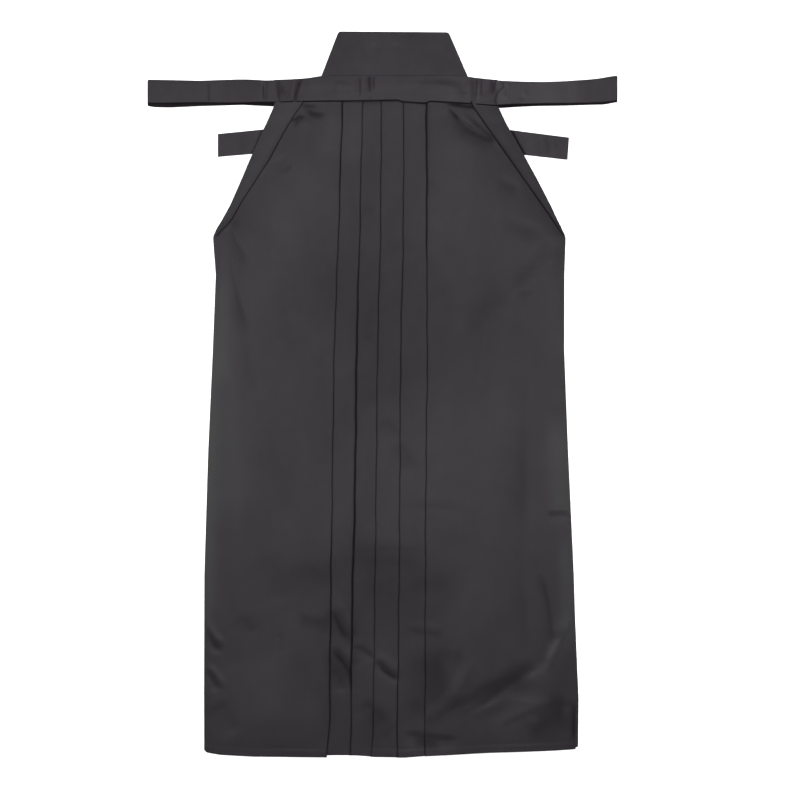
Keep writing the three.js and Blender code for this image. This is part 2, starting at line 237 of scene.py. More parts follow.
def cloth_finish(name, dark, pale, light, roughness, cloudiness):
    """One charcoal finish: dark to pale as the tone drifts, past dark where shade is painted, lighter where
    sheen is painted.
    """
    finish = bpy.data.materials.new(name)
    finish.use_nodes = True
    tree = finish.node_tree
    shader = tree.nodes["Principled BSDF"]
    shader.inputs["Specular IOR Level"].default_value = 0.095
    shader.inputs["Sheen Weight"].default_value = 0.04
    shader.inputs["Sheen Roughness"].default_value = 0.45
    cut = tree.nodes.new("ShaderNodeUVMap")
    cut.uv_map = "UVMap"
    place = tree.nodes.new("ShaderNodeTexCoord")
    drift = tree.nodes.new("ShaderNodeGroup")
    drift.node_tree = DRIFT
    tree.links.new(cut.outputs[0], drift.inputs["Cut"])
    tree.links.new(place.outputs["Object"], drift.inputs["Place"])
    edge = tree.nodes.new("ShaderNodeAttribute")
    edge.attribute_name = "painted_shade_and_sheen"
    # The sheet's attribute holds painted shade below zero, which darkens the colour past dark, and painted
    # sheen above zero, which mixes in the light grey.
    spread = maths(tree, "MULTIPLY_ADD", drift.outputs["Tone"], cloudiness, 0.5 - 0.5 * cloudiness)
    painted_shade = maths(tree, "MINIMUM", edge.outputs["Fac"], 0.0)
    painted_sheen = maths(tree, "MULTIPLY", maths(tree, "MAXIMUM", edge.outputs["Fac"], 0.0), SHEEN_SHARE)
    colour = blend(tree, maths(tree, "MULTIPLY_ADD", painted_shade, SHADE_DARKENING, spread), dark, pale)
    colour = blend(tree, painted_sheen, colour, light)
    tree.links.new(colour, shader.inputs["Base Color"])
    dullness = maths(tree, "MAXIMUM", maths(tree, "MULTIPLY", edge.outputs["Fac"], FOLD_DULLING), 0.0)
    streaks = maths(tree, "MULTIPLY_ADD", spread, PALE_GLOSS, roughness)
    tree.links.new(maths(tree, "ADD", streaks, dullness), shader.inputs["Roughness"])
    weave = tree.nodes.new("ShaderNodeGroup")
    weave.node_tree = WEAVE
    weave.inputs["Thread"].default_value = THREAD
    tree.links.new(cut.outputs[0], weave.inputs["Cut"])
    bump = tree.nodes.new("ShaderNodeBump")
    bump.inputs["Strength"].default_value = 0.35
    bump.inputs["Distance"].default_value = WEAVE_DEPTH
    tree.links.new(weave.outputs["Height"], bump.inputs["Height"])
    tree.links.new(bump.outputs[0], shader.inputs["Normal"])
    return finish


# The light grey that painted sheen mixes in.
SHEEN_GREY = (0.0218, 0.0213, 0.0224)
CLOTH = cloth_finish(
    "charcoal_cloth",
    dark=(0.0112, 0.0093, 0.0116),
    pale=(0.0142, 0.0121, 0.0147),
    light=SHEEN_GREY,
    roughness=0.38,
    cloudiness=5.5,
)
TIE_CLOTH = cloth_finish(
    "charcoal_tie_cloth",
    dark=(0.0122, 0.0100, 0.0128),
    pale=(0.0160, 0.0134, 0.0167),
    light=(0.0262, 0.0232, 0.0272),
    roughness=0.39,
    cloudiness=6.0,
)
BOARD_CLOTH = cloth_finish(
    "charcoal_board_cloth",
    dark=(0.0110, 0.0094, 0.0118),
    pale=(0.0142, 0.0124, 0.0151),
    light=SHEEN_GREY,
    roughness=0.38,
    cloudiness=10.0,
)
print("finishes:", CLOTH.name, TIE_CLOTH.name, BOARD_CLOTH.name)

# %% [markdown]
# ## Sizes of the cut
# The frame gives the outer size of each piece. What a box can't give is in short tables, in
# millimetres: where the five pleat edges run, the outline down each side and how high the cloth
# lies there, the hem, and the line where each side fold ends on the panel. A table's first column
# is what it is read along. Right and left are the wearer's.

# %% Short tables
def table(columns, *rows):
    """A short table with named columns, in the order of its first column."""
    ordered = sorted(rows)
    return {name: np.array([row[i] for row in ordered], float) for i, name in enumerate(columns.split())}


def read(rows, at, column):
    """A column of a table at a place, or at many, straight between rows."""
    along = next(iter(rows.values()))
    return np.interp(at, along, rows[column])


def read_soft(rows, at, column, reach=24):
    """The same with the corners between rows rounded over the reach to each side."""
    near = np.linspace(-reach, reach, 9)
    return np.mean([read(rows, at + step, column) for step in near], axis=0)


PLEAT_LINES = table(
    "y a b c d e",
    (440, -57.6, -28.4, -1.8, 30.9, 63.5),
    (384, -59.0, -29.8, -2.2, 30.7, 63.7),
    (230, -64.0, -33.0, -3.0, 30.2, 64.1),
    (90, -69.4, -36.6, -7.0, 27.0, 65.3),
    (40, -70.6, -36.9, -7.7, 26.2, 65.2),
    (-160, -73.4, -39.5, -9.8, 25.0, 62.9),
    (-320, -75.2, -43.6, -11.8, 23.6, 62.3),
    (-500, -77.0, -45.9, -14.0, 21.1, 61.8),
    (-532, -83.0, -46.6, -18.0, 20.6, 61.6),
)
SIDES = table(
    "y right left level",
    (465, -157.0, 167.2, 7.0),
    (424, -158.4, 168.7, 7.0),
    (420, -159.2, 169.6, 7.0),
    (396, -170.2, 181.3, 5.7),
    (343, -194.4, 211.1, 4.8),
    (312, -207.6, 228.1, 3.9),
    (277, -223.1, 246.3, 2.8),
    (254, -235.9, 257.2, 2.2),
    (242, -243.5, 263.2, 1.9),
    (230, -248.5, 268.6, 1.8),
    (175, -244.3, 266.6, 1.8),
    (64, -248.7, 266.4, 1.8),
    (-82, -255.4, 272.0, 1.8),
    (-265, -261.1, 280.5, 1.8),
    (-449, -261.6, 286.0, 1.8),
    (-532, -261.4, 283.0, 1.8),
)
SIDE_FOLDS = table(
    "y right left",
    (465, -108, 118),
    (422.5, -116.9, 129.4),
    (412, -126, 137.0),
    (384, -143, 156.9),
    (343, -165, 186.0),
    (280, -206.7, 230.8),
    (254, -221, 249.2),
    (247, -227.7, 254.2),
    (230, -245.0, 266.2),
)
HEMS = {
    "right": table("x y", (-262, -521), (-258, -525.4), (-238, -528.2), (-190, -530.3), (-83, -531.4)),
    "pleats": table(
        "x y", (-83, -526.1), (-55, -528.1), (-11, -531.2), (33, -531.8), (62, -529.4), (128, -524.5)
    ),
    "left": table(
        "x y", (62, -529.4), (92, -528.1), (150, -524.7), (253, -521.9), (282, -520.9), (288, -518)
    ),
}
BACK_SIDES = table(
    "y right left",
    (441.3, -98, 134),
    (230, -247.5, 267.6),
    (175, -243.6, 265.8),
    (64, -248.0, 265.8),
    (-82, -254.8, 271.4),
    (-265, -260.5, 280.0),
    (-449, -261.0, 287.7),
    (-532, -261.0, 287.0),
)

# %% Sizes read from the frame
def span(node):
    """The lowest and the highest corner of a sewn piece, in millimetres."""
    return [np.array(corner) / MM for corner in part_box(node)]


HEM_Y = float(min(span("front_panel_right")[0][1], span("front_panel_left")[0][1]))
BACK_TOP = float(span("back_panel_left")[1][1])
BOARD_TOP_Z = span("back_board")[1][2]
BAND_ENDS = {"right": float(span("front_waistband")[0][0]), "left": float(span("front_waistband")[1][0])}
TIE_ENDS = {"right": float(span("front_tie_right")[0][0]), "left": float(span("front_tie_left")[1][0])}
OUTWARD = {"right": -1, "left": 1}
CENTRE_X = 12.0
print(f"hem at {HEM_Y:.1f}, back top at {BACK_TOP:.1f}")
print("band ends:", BAND_ENDS, "tie ends:", TIE_ENDS)

# %% [markdown]
# ## Layers
# The solids are walls a millimetre thick, 1.3 mm from layer to layer. Real cloth is thinner, so the
# layers here are 0.75 mm thick and lie a little closer, on the same bottom layer and inside the
# same walls. Each height is that of the middle of a layer.

# %% Layer heights
CLOTH_THICK = 0.75
PITCH = 1.05
BACK_Z = 0.5
GUSSET_Z = 4.4
FRONT_Z = 5.7
WAIST_Z = 6.6
PANEL_TOP = 441.0


def ease(t):
    """From 0 to 1 with no slope at either end."""
    t = np.clip(t, 0, 1)
    return t * t * (3 - 2 * t)


# %% [markdown]
# ## Creases
# Cloth that has been folded, packed and laid out keeps soft creases, no two alike. A cloth
# simulation could make some, but not where this garment has them, so they are listed one by one. Each
# is one row: where it starts and ends, how wide it is, how high (a ridge) or deep (a trough, below
# zero), and how far it bows sideways. One flank is steep and the other gentle, and a negative width
# swaps them. Creases fade towards their ends. All layers of a stack take the same creases, so that
# no layer cuts another.

# %% Crease heights
GENTLE_SIDE = 2.2
END_REACH = 0.12
END_FADE = 0.34


def crease_sum(x, y, creases):
    """The height of all creases at each point, in millimetres."""
    total = np.zeros_like(x)
    for x0, y0, x1, y1, width, height, bow in creases:
        run = np.array([x1 - x0, y1 - y0])
        length = np.hypot(*run)
        along = ((x - x0) * run[0] + (y - y0) * run[1]) / length**2
        across = ((x - x0) * run[1] - (y - y0) * run[0]) / length
        across = (across - bow * 4 * along * (1 - along)) / width
        across = np.where(across < 0, across, across / GENTLE_SIDE)
        fade = ease((along + END_REACH) / END_FADE) * ease((1 + END_REACH - along) / END_FADE)
        total += height * fade * np.exp(-(across**2))
    return total


TROUGH_SHADE = 0.35
CREST_HIGHLIGHT = 0.25


def crease_shade_and_highlight(heights):
    """Painted shade along the foot of a crease and a faint painted highlight along its crest."""
    return np.where(heights < 0, TROUGH_SHADE, CREST_HIGHLIGHT) * heights


# %% [markdown]
# ## Shade lines of creases
# Where a crease is sharp, its shadow is painted as a thin dark line of shade. Its rows read like those
# of the creases, but the height is a tone of painted shade. Most lie where the ties leave the
# band, and by the hem.

# %% Painted shade lines of creases
CREASE_SHADE_LINES = [
    (177.4, 457, 176.5, 447, 1.0, -3.5, 0),
    (176.5, 447.5, 168.2, 440.5, 1.0, -3.5, 0),
    (168.6, 441, 164.6, 430, 1.0, -3.5, 0),
    (164.6, 431, 166.9, 422, 1.0, -3.0, 0),
    (163.6, 456, 163.4, 440, 0.8, -2.4, 0),
    (182, 450, 182, 437, 0.8, -1.8, 0),
    (137, 460, 136, 430, 0.9, -1.0, 0),
    (203, 437, 209, 431, 1.0, -1.6, 0),
    (187, 427, 206, 427, 1.2, -1.4, 0),
    (-153, 457, -152.6, 431, 0.8, -1.6, 0),
    (-119.6, 458.5, -128.4, 428, 0.8, -3.4, 1),
    (-174, 454, -173.5, 430, 0.8, -2.6, 0),
    (-254.5, 457, -254.8, 430, 0.8, -1.6, 0),
    (-148, 452, -150, 440, 1.6, -1.6, 0),
    (-144, 446, -152, 434, 0.9, -1.6, 0),
    (-19.8, 465, -17.5, 441, 0.8, -2.6, 1),
    (-33.5, 462, -33, 444, 0.9, -1.0, 0),
    (-27, 458, -26, 440, 0.8, -1.0, 0),
    (-13.9, 462, -14.6, 448, 0.8, -1.2, 0),
    (-16, 436, -18, 428, 1.2, -1.6, 0),
    (-118, 422, -96, 421, 1.5, -1.6, 0),
    (-112, 415, -82, 409, 2.0, -1.2, 1),
    (-108, 409, -90, 406, 2.4, -1.0, 0),
    (-133, 399.5, -114, 406, 1.6, -1.8, -1),
    (94, 424.5, 138, 419, 1.6, -3.0, 0),
    (97, 417, 112, 401, 1.6, -1.6, 0),
    (112, 400, 124, 380, 3.4, -0.7, 0),
    (124, 386, 166, 370, 2.0, -1.2, 2),
    (130, 398, 163, 374, 1.6, -1.6, -1),
    (149, 422.5, 168, 412, 1.4, -2.0, 0),
    (243, -177.5, 278, -177.5, 1.3, -1.6, 0),
    (-4, -398, 21, -416, 1.5, -2.4, 1),
    (-69, -378, -45, -412, 1.5, -1.6, -2),
    (-70, -318, -52, -356, 1.8, -1.0, 2),
    (-39, -366, -12, -386, 1.5, -0.9, 0),
    (-46, -404, -45, -432, 1.6, -1.6, 0),
    (-259, -342, -240, -374, 1.8, -1.2, 2),
    (-260, -404, -242, -432, 1.8, -1.2, -2),
    (281.5, -452, 280.5, -508, 1.8, -2.6, 0),
    (235, -272, 249, -368, 2.4, -1.0, -3),
]


# %% Waves
def unevenness(x, y):
    """Waves of unlike lengths, for cloth that never lies quite flat. 1 at most, as the shares add up to 1."""
    waves = (
        (0.021, 0.004, 0.3, 0.30),
        (0.009, 0.013, 1.9, 0.24),
        (0.037, -0.011, 4.1, 0.14),
        (0.014, -0.027, 2.6, 0.12),
        (0.066, 0.031, 0.9, 0.07),
        (-0.052, 0.083, 5.2, 0.06),
        (0.121, -0.047, 3.3, 0.04),
        (0.034, 0.137, 1.2, 0.03),
    )
    sway = 1.6 * np.sin(0.017 * x - 0.011 * y)
    return sum(share * np.sin(kx * x + ky * y + phase + sway) for kx, ky, phase, share in waves)


# %% [markdown]
# ## Creases of the fronts
# The right leg's are few and soft. The pleats have short ones by the hem, where the layers have
# shifted. The left leg has the most: a fan of them at its outer corner by the hem, and some below
# the waistband.

# %% Creases of the right leg
RIGHT_LEG_CREASES = [
    (-117, 422, -84, 417, 2.5, -1.1, 0),
    (-112, 415, -82, 406, 4, -1.6, 2),
    (-132, 399, -113, 406, 2.2, -1.4, -2),
    (-126, 392, -104, 400, 5, 0.7, -2),
    (-146, 348, -136, 330, 6, -1.0, 0),
    (-226, 244, -199, 194, 4, -1.5, 3),
    (-214, 250, -188, 200, 5, 0.8, 3),
    (-226, 196, -199, 92, 5, -1.2, 4),
    (-241, 196, -222, 60, 9, 0.9, 4),
    (-219, 152, -197, 5, 7, -0.8, -3),
    (-260, -342, -238, -377, 4, -1.1, 2),
    (-262, -328, -234, -366, 5, 0.9, 2),
    (-260, -404, -240, -434, 4, -1.0, -2),
    (-256, -398, -232, -428, 5, 0.8, -2),
    (-171, -239, -139, -296, 16, -0.7, 4),
    (-125, -242, -78, -272, 12, -0.8, 3),
    (-146, -352, -145, -378, 3, -1.0, 0),
    (-120, -328, -68, -337, 5, -0.9, 2),
    (-212, -330, -186, -352, 9, -0.5, 0),
    (-238, -455, -214, -498, 12, -0.7, 3),
    (-110, -470, -80, -500, 9, -0.9, 0),
    (-170, 120, -118, 60, 14, -0.35, 5),
]

# %% Creases of the pleats
PLEAT_CREASES = [
    (-74, -318, -50, -358, 4, -0.9, 2),
    (-64, -304, -38, -350, 5, 0.5, 2),
    (-71, -374, -40, -419, 3.5, -1.0, -2),
    (-66, -360, -34, -408, 5, 0.5, -2),
    (-70, -404, -58, -436, 5, -0.8, 0),
    (-41, -366, -12, -388, 4, -0.7, 0),
    (-9, -392, 24, -419, 3.5, -1.2, 1),
    (-6, -380, 26, -404, 5, 0.5, 1),
    (-44, -229, 66, -229, 4, -0.35, 0),
    (28, -164, 118, -168, 4, -0.3, 0),
    (-2, 221, 64, 221, 4, -0.5, 0),
    (-28, 82, -14, 82, 3, -0.7, 0),
    (-32, 30, -12, -20, 8, -0.7, 0),
    (2, -38, 27, -62, 7, -1.0, 3),
    (23, -74, 45, -112, 8, -0.9, 0),
    (-28, -455, 6, -484, 9, -1.0, 0),
    (34, -499, 108, -511, 6, -1.2, 2),
    (38, -336, 88, -342, 5, 0.3, 0),
    (38, -348, 88, -356, 5, -0.35, 0),
    (-26, 284, -15, 268, 5, -0.7, 0),
]

# %% Creases of the left leg
LEFT_LEG_CREASES = [
    (96, 424, 140, 418, 2.2, -1.4, 0),
    (97, 418, 114, 398, 3, -1.2, 0),
    (103, 411, 130, 385, 4, -0.9, 1),
    (122, 391, 168, 369, 4, -1.1, 1),
    (112, 409, 164, 383, 4, 0.9, 2),
    (132, 402, 162, 378, 2.6, -0.8, -1),
    (92, 396, 150, 352, 8, 0.7, 6),
    (84, 408, 104, 372, 8, -0.6, 0),
    (69, 314, 80, 293, 6, -1.0, 0),
    (172, 314, 200, 301, 5, -1.0, 0),
    (182, 254, 234, 237, 6, -1.1, 0),
    (249, 220, 191, 157, 5, -1.5, -4),
    (258, 204, 196, 140, 6, 0.9, -4),
    (192, 158, 127, 90, 8, -0.8, 0),
    (196, 146, 214, 142, 4, -0.9, 0),
    (240, 188, 262, 184, 4, -0.9, 0),
    (243, -177.5, 278, -177.5, 1.6, -1.5, 0),
    (203, -66, 206, -372, 10, -0.8, 3),
    (233, -270, 249, -369, 5, -1.1, -3),
    (127, -382, 68, -474, 10, 1.0, -12),
    (114, -372, 54, -462, 12, -1.0, -10),
    (96, -446, 232, -462, 10, 0.9, -8),
    (224, -402, 140, -459, 6, -1.9, 4),
    (276, -330, 242, -400, 6, 1.0, 3),
    (258, -352, 234, -404, 5, -1.2, 3),
    (268, -458, 226, -490, 9, -2.0, 0),
    (252, -451, 170, -487, 7, 1.0, 3),
    (176, -440, 100, -478, 7, -1.0, 3),
    (100, -274, 34, -289, 10, -0.9, 0),
    (282, -455, 280, -508, 3, -1.2, 0),
]
print("creases of the legs and pleats:", len(RIGHT_LEG_CREASES), len(LEFT_LEG_CREASES), len(PLEAT_CREASES))

# %% [markdown]
# ## From a grid to a folded sheet
# A sheet of cloth starts as a flat grid. Every point of it is then carried to its place on the
# folded path, as if the cut had been laid on the table and its pleats turned in by hand. The grid's
# UV map is rewritten in metres of cloth, and Solidify gives the sheet its thickness as a closed
# shell.

# %% Grid sheets
# How far the painted shade and the painted sheen may go.
DEEPEST_SHADE = -3.6
STRONGEST_SHEEN = 4.0
SMOOTH_ANGLE = math.radians(50)


def lengths_along(x, y, z, axis):
    """Metres of cloth from the first line of a grid of points, along one of its two directions."""
    steps = np.sqrt(sum(np.diff(part, axis=axis) ** 2 for part in (x, y, z)))
    start = np.zeros_like(np.take(x, [0], axis=axis))
    return np.concatenate([start, np.cumsum(steps, axis=axis)], axis=axis) * MM


def grid_sheet(name, x, y, z, painted_shade_and_sheen=0.0, thick=CLOTH_THICK):
    """A closed sheet through points in millimetres, given as arrays of rows and columns."""
    rows, columns = x.shape
    bpy.ops.object.select_all(action="DESELECT")
    bpy.ops.mesh.primitive_grid_add(x_subdivisions=columns - 1, y_subdivisions=rows - 1, size=1)
    sheet = bpy.context.object
    sheet.name = name
    sheet.data.name = name
    places = np.stack([x, y, z], axis=-1) * MM
    sheet.data.vertices.foreach_set("co", places.astype(np.float32).ravel())
    cut = np.stack([lengths_along(x, y, z, 1).ravel(), lengths_along(x, y, z, 0).ravel()], axis=-1)
    corners = np.zeros(len(sheet.data.loops), np.int32)
    sheet.data.loops.foreach_get("vertex_index", corners)
    sheet.data.uv_layers["UVMap"].data.foreach_set("uv", cut[corners].astype(np.float32).ravel())
    mark = sheet.data.attributes.new("painted_shade_and_sheen", "FLOAT", "POINT")
    tone = np.clip(np.broadcast_to(painted_shade_and_sheen, x.shape), DEEPEST_SHADE, STRONGEST_SHEEN)
    mark.data.foreach_set("value", tone.astype(np.float32).ravel())
    sheet.data.update()
    shell = sheet.modifiers.new("thickness", "SOLIDIFY")
    shell.thickness = thick * MM
    shell.offset = 0
    bpy.ops.object.modifier_apply(modifier=shell.name)
    bpy.ops.object.shade_smooth_by_angle(angle=SMOOTH_ANGLE)
    return sheet


def finish_sheet(sheet, node, finish):
    """Puts a finished sheet in its solid's place, hides that solid and gives the sheet its finish."""
    sheet.data.materials.clear()
    sheet.data.materials.append(finish)
    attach(sheet, "root")
    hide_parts(node)
    triangles = sum(len(face.vertices) - 2 for face in sheet.data.polygons)
    print(f"{sheet.name}: {triangles} triangles")


# %% [markdown]
# ## Folding a sheet to and fro
# A pleated sheet is written down as a path across it: a run, a fold, a run back, the next fold.
# Each call adds the grid's next columns, for all rows at once, so a pleat can widen and wander from
# waist to hem. Columns are close together where they show, beside a fold, and far apart where the
# cloth is hidden between layers.

# %% Folded paths
LIFT_REACH = 5.0
FINE_STEP = 3.2
BESIDE_FOLD = [0.0, 0.6, 1.5, 3.0, 5.0]
FOLD_STEPS = 4
RETURN_CROWDING = 1.6


class FoldedPath:
    """Collects the columns of a sheet that runs to and fro in layers, one stretch at a time."""

    def __init__(self, rows):
        self.rows = rows
        self.x = []
        self.z = []
        self.painted_shade_and_sheen = []

    def add(self, x, z, painted_shade_and_sheen=0.0):
        self.x.append(np.broadcast_to(x, self.rows.shape))
        self.z.append(np.broadcast_to(z, self.rows.shape))
        self.painted_shade_and_sheen.append(np.broadcast_to(painted_shade_and_sheen, self.rows.shape))

    def run(self, start, end, z, steps, fine=0.0, lift=0.0, lift_at=None, tone=0.0, tone_reach=1.0):
        """A flat stretch: close columns over its first, visible part, then a number of even steps.

        Cloth near the line lift_at stands up by lift, and the start of the stretch may carry painted shade
        beside a fold.
        """
        toward = np.sign(end - start)
        length = np.abs(end - start)
        closest = list(BESIDE_FOLD) if lift_at is not None else [0.0]
        closest += list(np.arange(closest[-1] + FINE_STEP, fine, FINE_STEP))
        for distance in closest:
            dark = tone * np.exp(-((distance / tone_reach) ** 4))
            self.stretch_point(start + toward * distance, z, lift, lift_at, dark)
        first = closest[-1]
        for t in np.linspace(0, 1, steps + 1)[1:]:
            self.stretch_point(start + toward * (first + (length - first) * t), z, lift, lift_at, 0.0)

    def run_back(self, start, end, z, steps, lift, lift_at):
        """A hidden stretch that returns to a fold, with closer and closer columns."""
        for t in 1 - (1 - np.linspace(0, 1, steps)) ** RETURN_CROWDING:
            self.stretch_point(start + (end - start) * t, z, lift, lift_at, 0.0)

    def stretch_point(self, x, z, lift, lift_at, tone):
        near = 0.0 if lift_at is None else np.exp(-(((x - lift_at) / LIFT_REACH) ** 2))
        self.add(x, z + lift * near, tone)

    def fold(self, edge, z_from, z_to, outward, lift=0.0, tone=0.0):
        """Half a turn round a fold whose outermost line is the edge, with painted shade given by tone."""
        radius = np.abs(z_to - z_from) / 2
        for angle in np.linspace(-math.pi / 2, math.pi / 2, FOLD_STEPS + 1)[1:-1]:
            x = edge - outward * radius * (1 - math.cos(angle))
            self.add(x, (z_from + z_to) / 2 + np.sign(z_to - z_from) * radius * math.sin(angle) + lift, tone)

    def arrays(self):
        """The whole sheet's x, z and tone, as rows and columns."""
        return [np.stack(part, axis=1) for part in (self.x, self.z, self.painted_shade_and_sheen)]


# %% [markdown]
# ## The fronts
# Each front is one wide cut. It starts at the hidden centre seam, goes out and back round every
# pleat, and ends in the broad panel that slopes down over the side. The pleats' edges, two on the
# right leg and three on the left, all face the middle, and each layer lies on the one before, so
# the broad panel ends on top. For each edge one table says how far the pressed fold stands up, and
# one how dark and how wide the line of painted shade beside it is.

# %% Sizes of the pleats
FOLDS = {"right": ["b", "a"], "left": ["c", "d", "e"]}
PLEAT_DEPTHS = table("y depth", (452, 40), (-500, 62))
SHOULDER = 12.0
FOLD_LIFTS = {
    "a": table("y lift", (430, 0.2), (100, 0.1), (-200, 0.5), (-400, 0.9), (-532, 0.8)),
    "b": table("y lift", (430, 0.4), (160, 0.2), (60, 0.9), (-250, 1.0), (-380, 0.8), (-532, 0.6)),
    "c": table("y lift", (430, 0.4), (200, 0.2), (-100, 0.2), (-532, 0.4)),
    "d": table("y lift", (430, 0.3), (0, 0.3), (-100, 0.4), (-532, 0.5)),
    "e": table("y lift", (430, 1.3), (300, 0.7), (150, 0.2), (-150, 0.2), (-532, 0.4)),
}

# %% Painted shade lines beside the folds
FOLD_SHADES = {
    "a": table(
        "y tone reach",
        (430, -3.4, 1.6),
        (310, -3.2, 1.4),
        (250, -2.2, 0.8),
        (-150, -2.4, 0.8),
        (-240, -3.4, 1.2),
        (-440, -3.4, 1.4),
        (-532, -2.6, 1.0),
    ),
    "b": table(
        "y tone reach",
        (430, -2.0, 0.8),
        (210, -2.2, 0.8),
        (150, -3.4, 1.4),
        (20, -3.6, 2.2),
        (-400, -3.6, 2.0),
        (-450, -3.0, 1.0),
        (-532, -3.0, 1.2),
    ),
    "c": table("y tone reach", (430, -2.4, 0.8), (0, -2.0, 0.8), (-532, -2.4, 0.8)),
    "d": table("y tone reach", (430, -2.4, 0.8), (-300, -2.4, 0.8), (-440, -3.2, 1.0), (-532, -3.4, 1.4)),
    "e": table(
        "y tone reach",
        (430, -3.6, 2.0),
        (225, -3.6, 1.6),
        (190, -2.4, 0.8),
        (-450, -2.4, 0.8),
        (-532, -3.2, 1.2),
    ),
}

# %% Fold lines and the height of the base
BAND_BACK_FOOT = 396
BAND_BACK_RISE = 24


def height_of_base(y):
    """The lowest front layer, which rises where the waistband's own back wall lies below it."""
    return FRONT_Z + (WAIST_Z - FRONT_Z) * ease((y - BAND_BACK_FOOT) / BAND_BACK_RISE)


def fold_edge(y, line):
    """A pleat edge, wandering a few tenths of a millimetre as a pressed edge does."""
    sway = 0.35 * np.sin(y / 23 + ord(line)) + 0.25 * np.sin(y / 9.7 + 2 * ord(line))
    return read_soft(PLEAT_LINES, y, line) + sway


def shoulder_line(side, y):
    """Where the broad panel leaves the stack of its pleats."""
    last = FOLDS[side][-1]
    return fold_edge(y, last) + OUTWARD[side] * (read(PLEAT_DEPTHS, y, "depth") + SHOULDER)


# %% Height of the broad panel
OPENING_FOOT = 230
DROP_POWER = 3.0
LEG_CREASES = {"right": RIGHT_LEG_CREASES, "left": LEFT_LEG_CREASES}
PANEL_WAVES = 0.5
FREE_FROM_FOLD = 9
FREE_FROM_SIDE = 12


def panel_height(side, x, y, with_creases=True):
    """The middle of the broad panel: level on the pleats, then down to the side, ever steeper."""
    outward = OUTWARD[side]
    top = height_of_base(y) + 2 * len(FOLDS[side]) * PITCH
    shoulder = shoulder_line(side, y)
    edge = read(SIDES, y, side)
    share = np.clip((x - shoulder) / (edge - shoulder), 0, 1)
    power = DROP_POWER - 1.2 * ease((y - OPENING_FOOT) / 150)
    z = top + (read(SIDES, y, "level") - top) * share**power
    if not with_creases:
        return z
    inner = np.where(y > OPENING_FOOT, read(SIDE_FOLDS, y, side), edge + outward * 40)
    free = ease((inner - x) * outward / FREE_FROM_FOLD)
    creases = crease_sum(x, y, LEG_CREASES[side])
    room_below = 0.1 + 5 * np.clip(share, 0, 0.6)
    settle = ease((edge - x) * outward / FREE_FROM_SIDE)
    z = z + (np.maximum(creases, -room_below) + PANEL_WAVES * unevenness(x, y)) * free * settle
    return np.maximum(z, BACK_Z + PITCH)


def pleat_height(x, y):
    """Creases and waves that all layers of the pleats share."""
    return crease_sum(x, y, PLEAT_CREASES) + 0.15 * unevenness(x, y)


# %% The turned hem
HEM_FEELS_BELOW = -400
HEM_FEELS_OVER = 132
HEM_DEPTH = 12.0
HEM_SWELL = 0.2
HEM_GROOVE = 0.15
HEM_EDGE_SHADE = 3.0
HEM_SHADE_REACH = 1.4


def hem_shift(side, x, y, is_panel):
    """How far the hem's own line moves a point, which only the lowest part of the cloth feels."""
    line = HEMS[side] if is_panel else HEMS["pleats"]
    return (read(line, x, "y") - HEM_Y) * ease((HEM_FEELS_BELOW - y) / HEM_FEELS_OVER)


def hem_height(above):
    """The turned hem is a second layer under the cloth, and ends at a row of blind stitches."""
    swell = HEM_SWELL * ease((HEM_DEPTH - above) / 3)
    return swell - HEM_GROOVE * np.exp(-(((above - HEM_DEPTH - 0.5) / 1.6) ** 2))


def hem_edge_shade(x, above):
    """Painted shade along the hem's own edge: a dark line that comes and goes along it."""
    comes_and_goes = np.clip(0.5 + 0.8 * np.sin(x / 19 + 1), 0, 1)
    return -HEM_EDGE_SHADE * np.exp(-((above / HEM_SHADE_REACH) ** 2)) * comes_and_goes


# %% [markdown]
# ## Zones of painted shade and sheen
# Broad soft zones, in rows like those of the creases but with tones for heights. Those below zero
# are painted shade, where the cloth is also a little duller, down the pleats and by the hem. Those
# above zero are painted sheen, mostly down the two sides.

# %% Zones of the fronts
SHADE_AND_SHEEN_ZONES = [
    (10, 440, 10, -150, 62, -0.4, 0),
    (-60, -238, 60, -246, -12, -0.8, 0),
    (-40, -262, 110, -290, 34, -0.9, 0),
    (-168, -266, -48, -246, 15, -0.6, 3),
    (-66, -312, -50, -366, 9, -1.0, 0),
    (-72, -372, -48, -424, 9, -1.2, 0),
    (74, -372, 104, -462, 26, -1.1, 0),
    (106, -378, 128, -390, 7, -0.9, 0),
    (44, -446, 58, -474, 10, -0.8, 0),
    (-16, -460, 12, -500, 14, -1.1, 0),
    (47, -505, 84, -511, 6, -1.6, 0),
    (118, -440, 216, -412, 9, -1.4, 0),
    (212, -494, 268, -458, 12, -1.8, 0),
    (206, 10, 206, -190, 5, -0.35, 0),
    (204, -280, 210, -380, 5, -0.5, 0),
    (-190, 150, 220, 150, 60, -0.45, 0),
    (98, 410, 128, 378, 9, -0.7, 0),
    (124, 384, 166, 372, 7, -0.7, 0),
    (-122, -326, -76, -334, 6, -0.9, 0),
    (-238, 178, -230, 10, 14, 3.4, 4),
    (-252, 90, -257, -345, 12, 3.4, 0),
    (-230, 10, -218, -190, 22, 1.7, -4),
    (254, -40, 260, -190, -15, 2.8, 0),
    (268, -200, 274, -360, -10, 2.4, 2),
    (252, 180, 258, 40, 10, 0.8, 0),
    (92, -384, 112, -436, -10, 0.8, 0),
    (155, -482, 250, -452, 8, 2.0, 0),
    (219, -414, 276, -340, 8, 1.6, 0),
    (-180, -380, -160, -480, 34, 1.3, 0),
    (-110, -440, -92, -500, 12, 0.8, 0),
    (-84, 348, -70, 404, 12, 1.2, 0),
    (-46, 340, -42, 404, 8, 0.9, 0),
    (-90, 330, -170, 240, 34, 0.8, 0),
]


# %% Rows of the fronts
FINE_ABOVE = 390
FINE_BELOW = -290


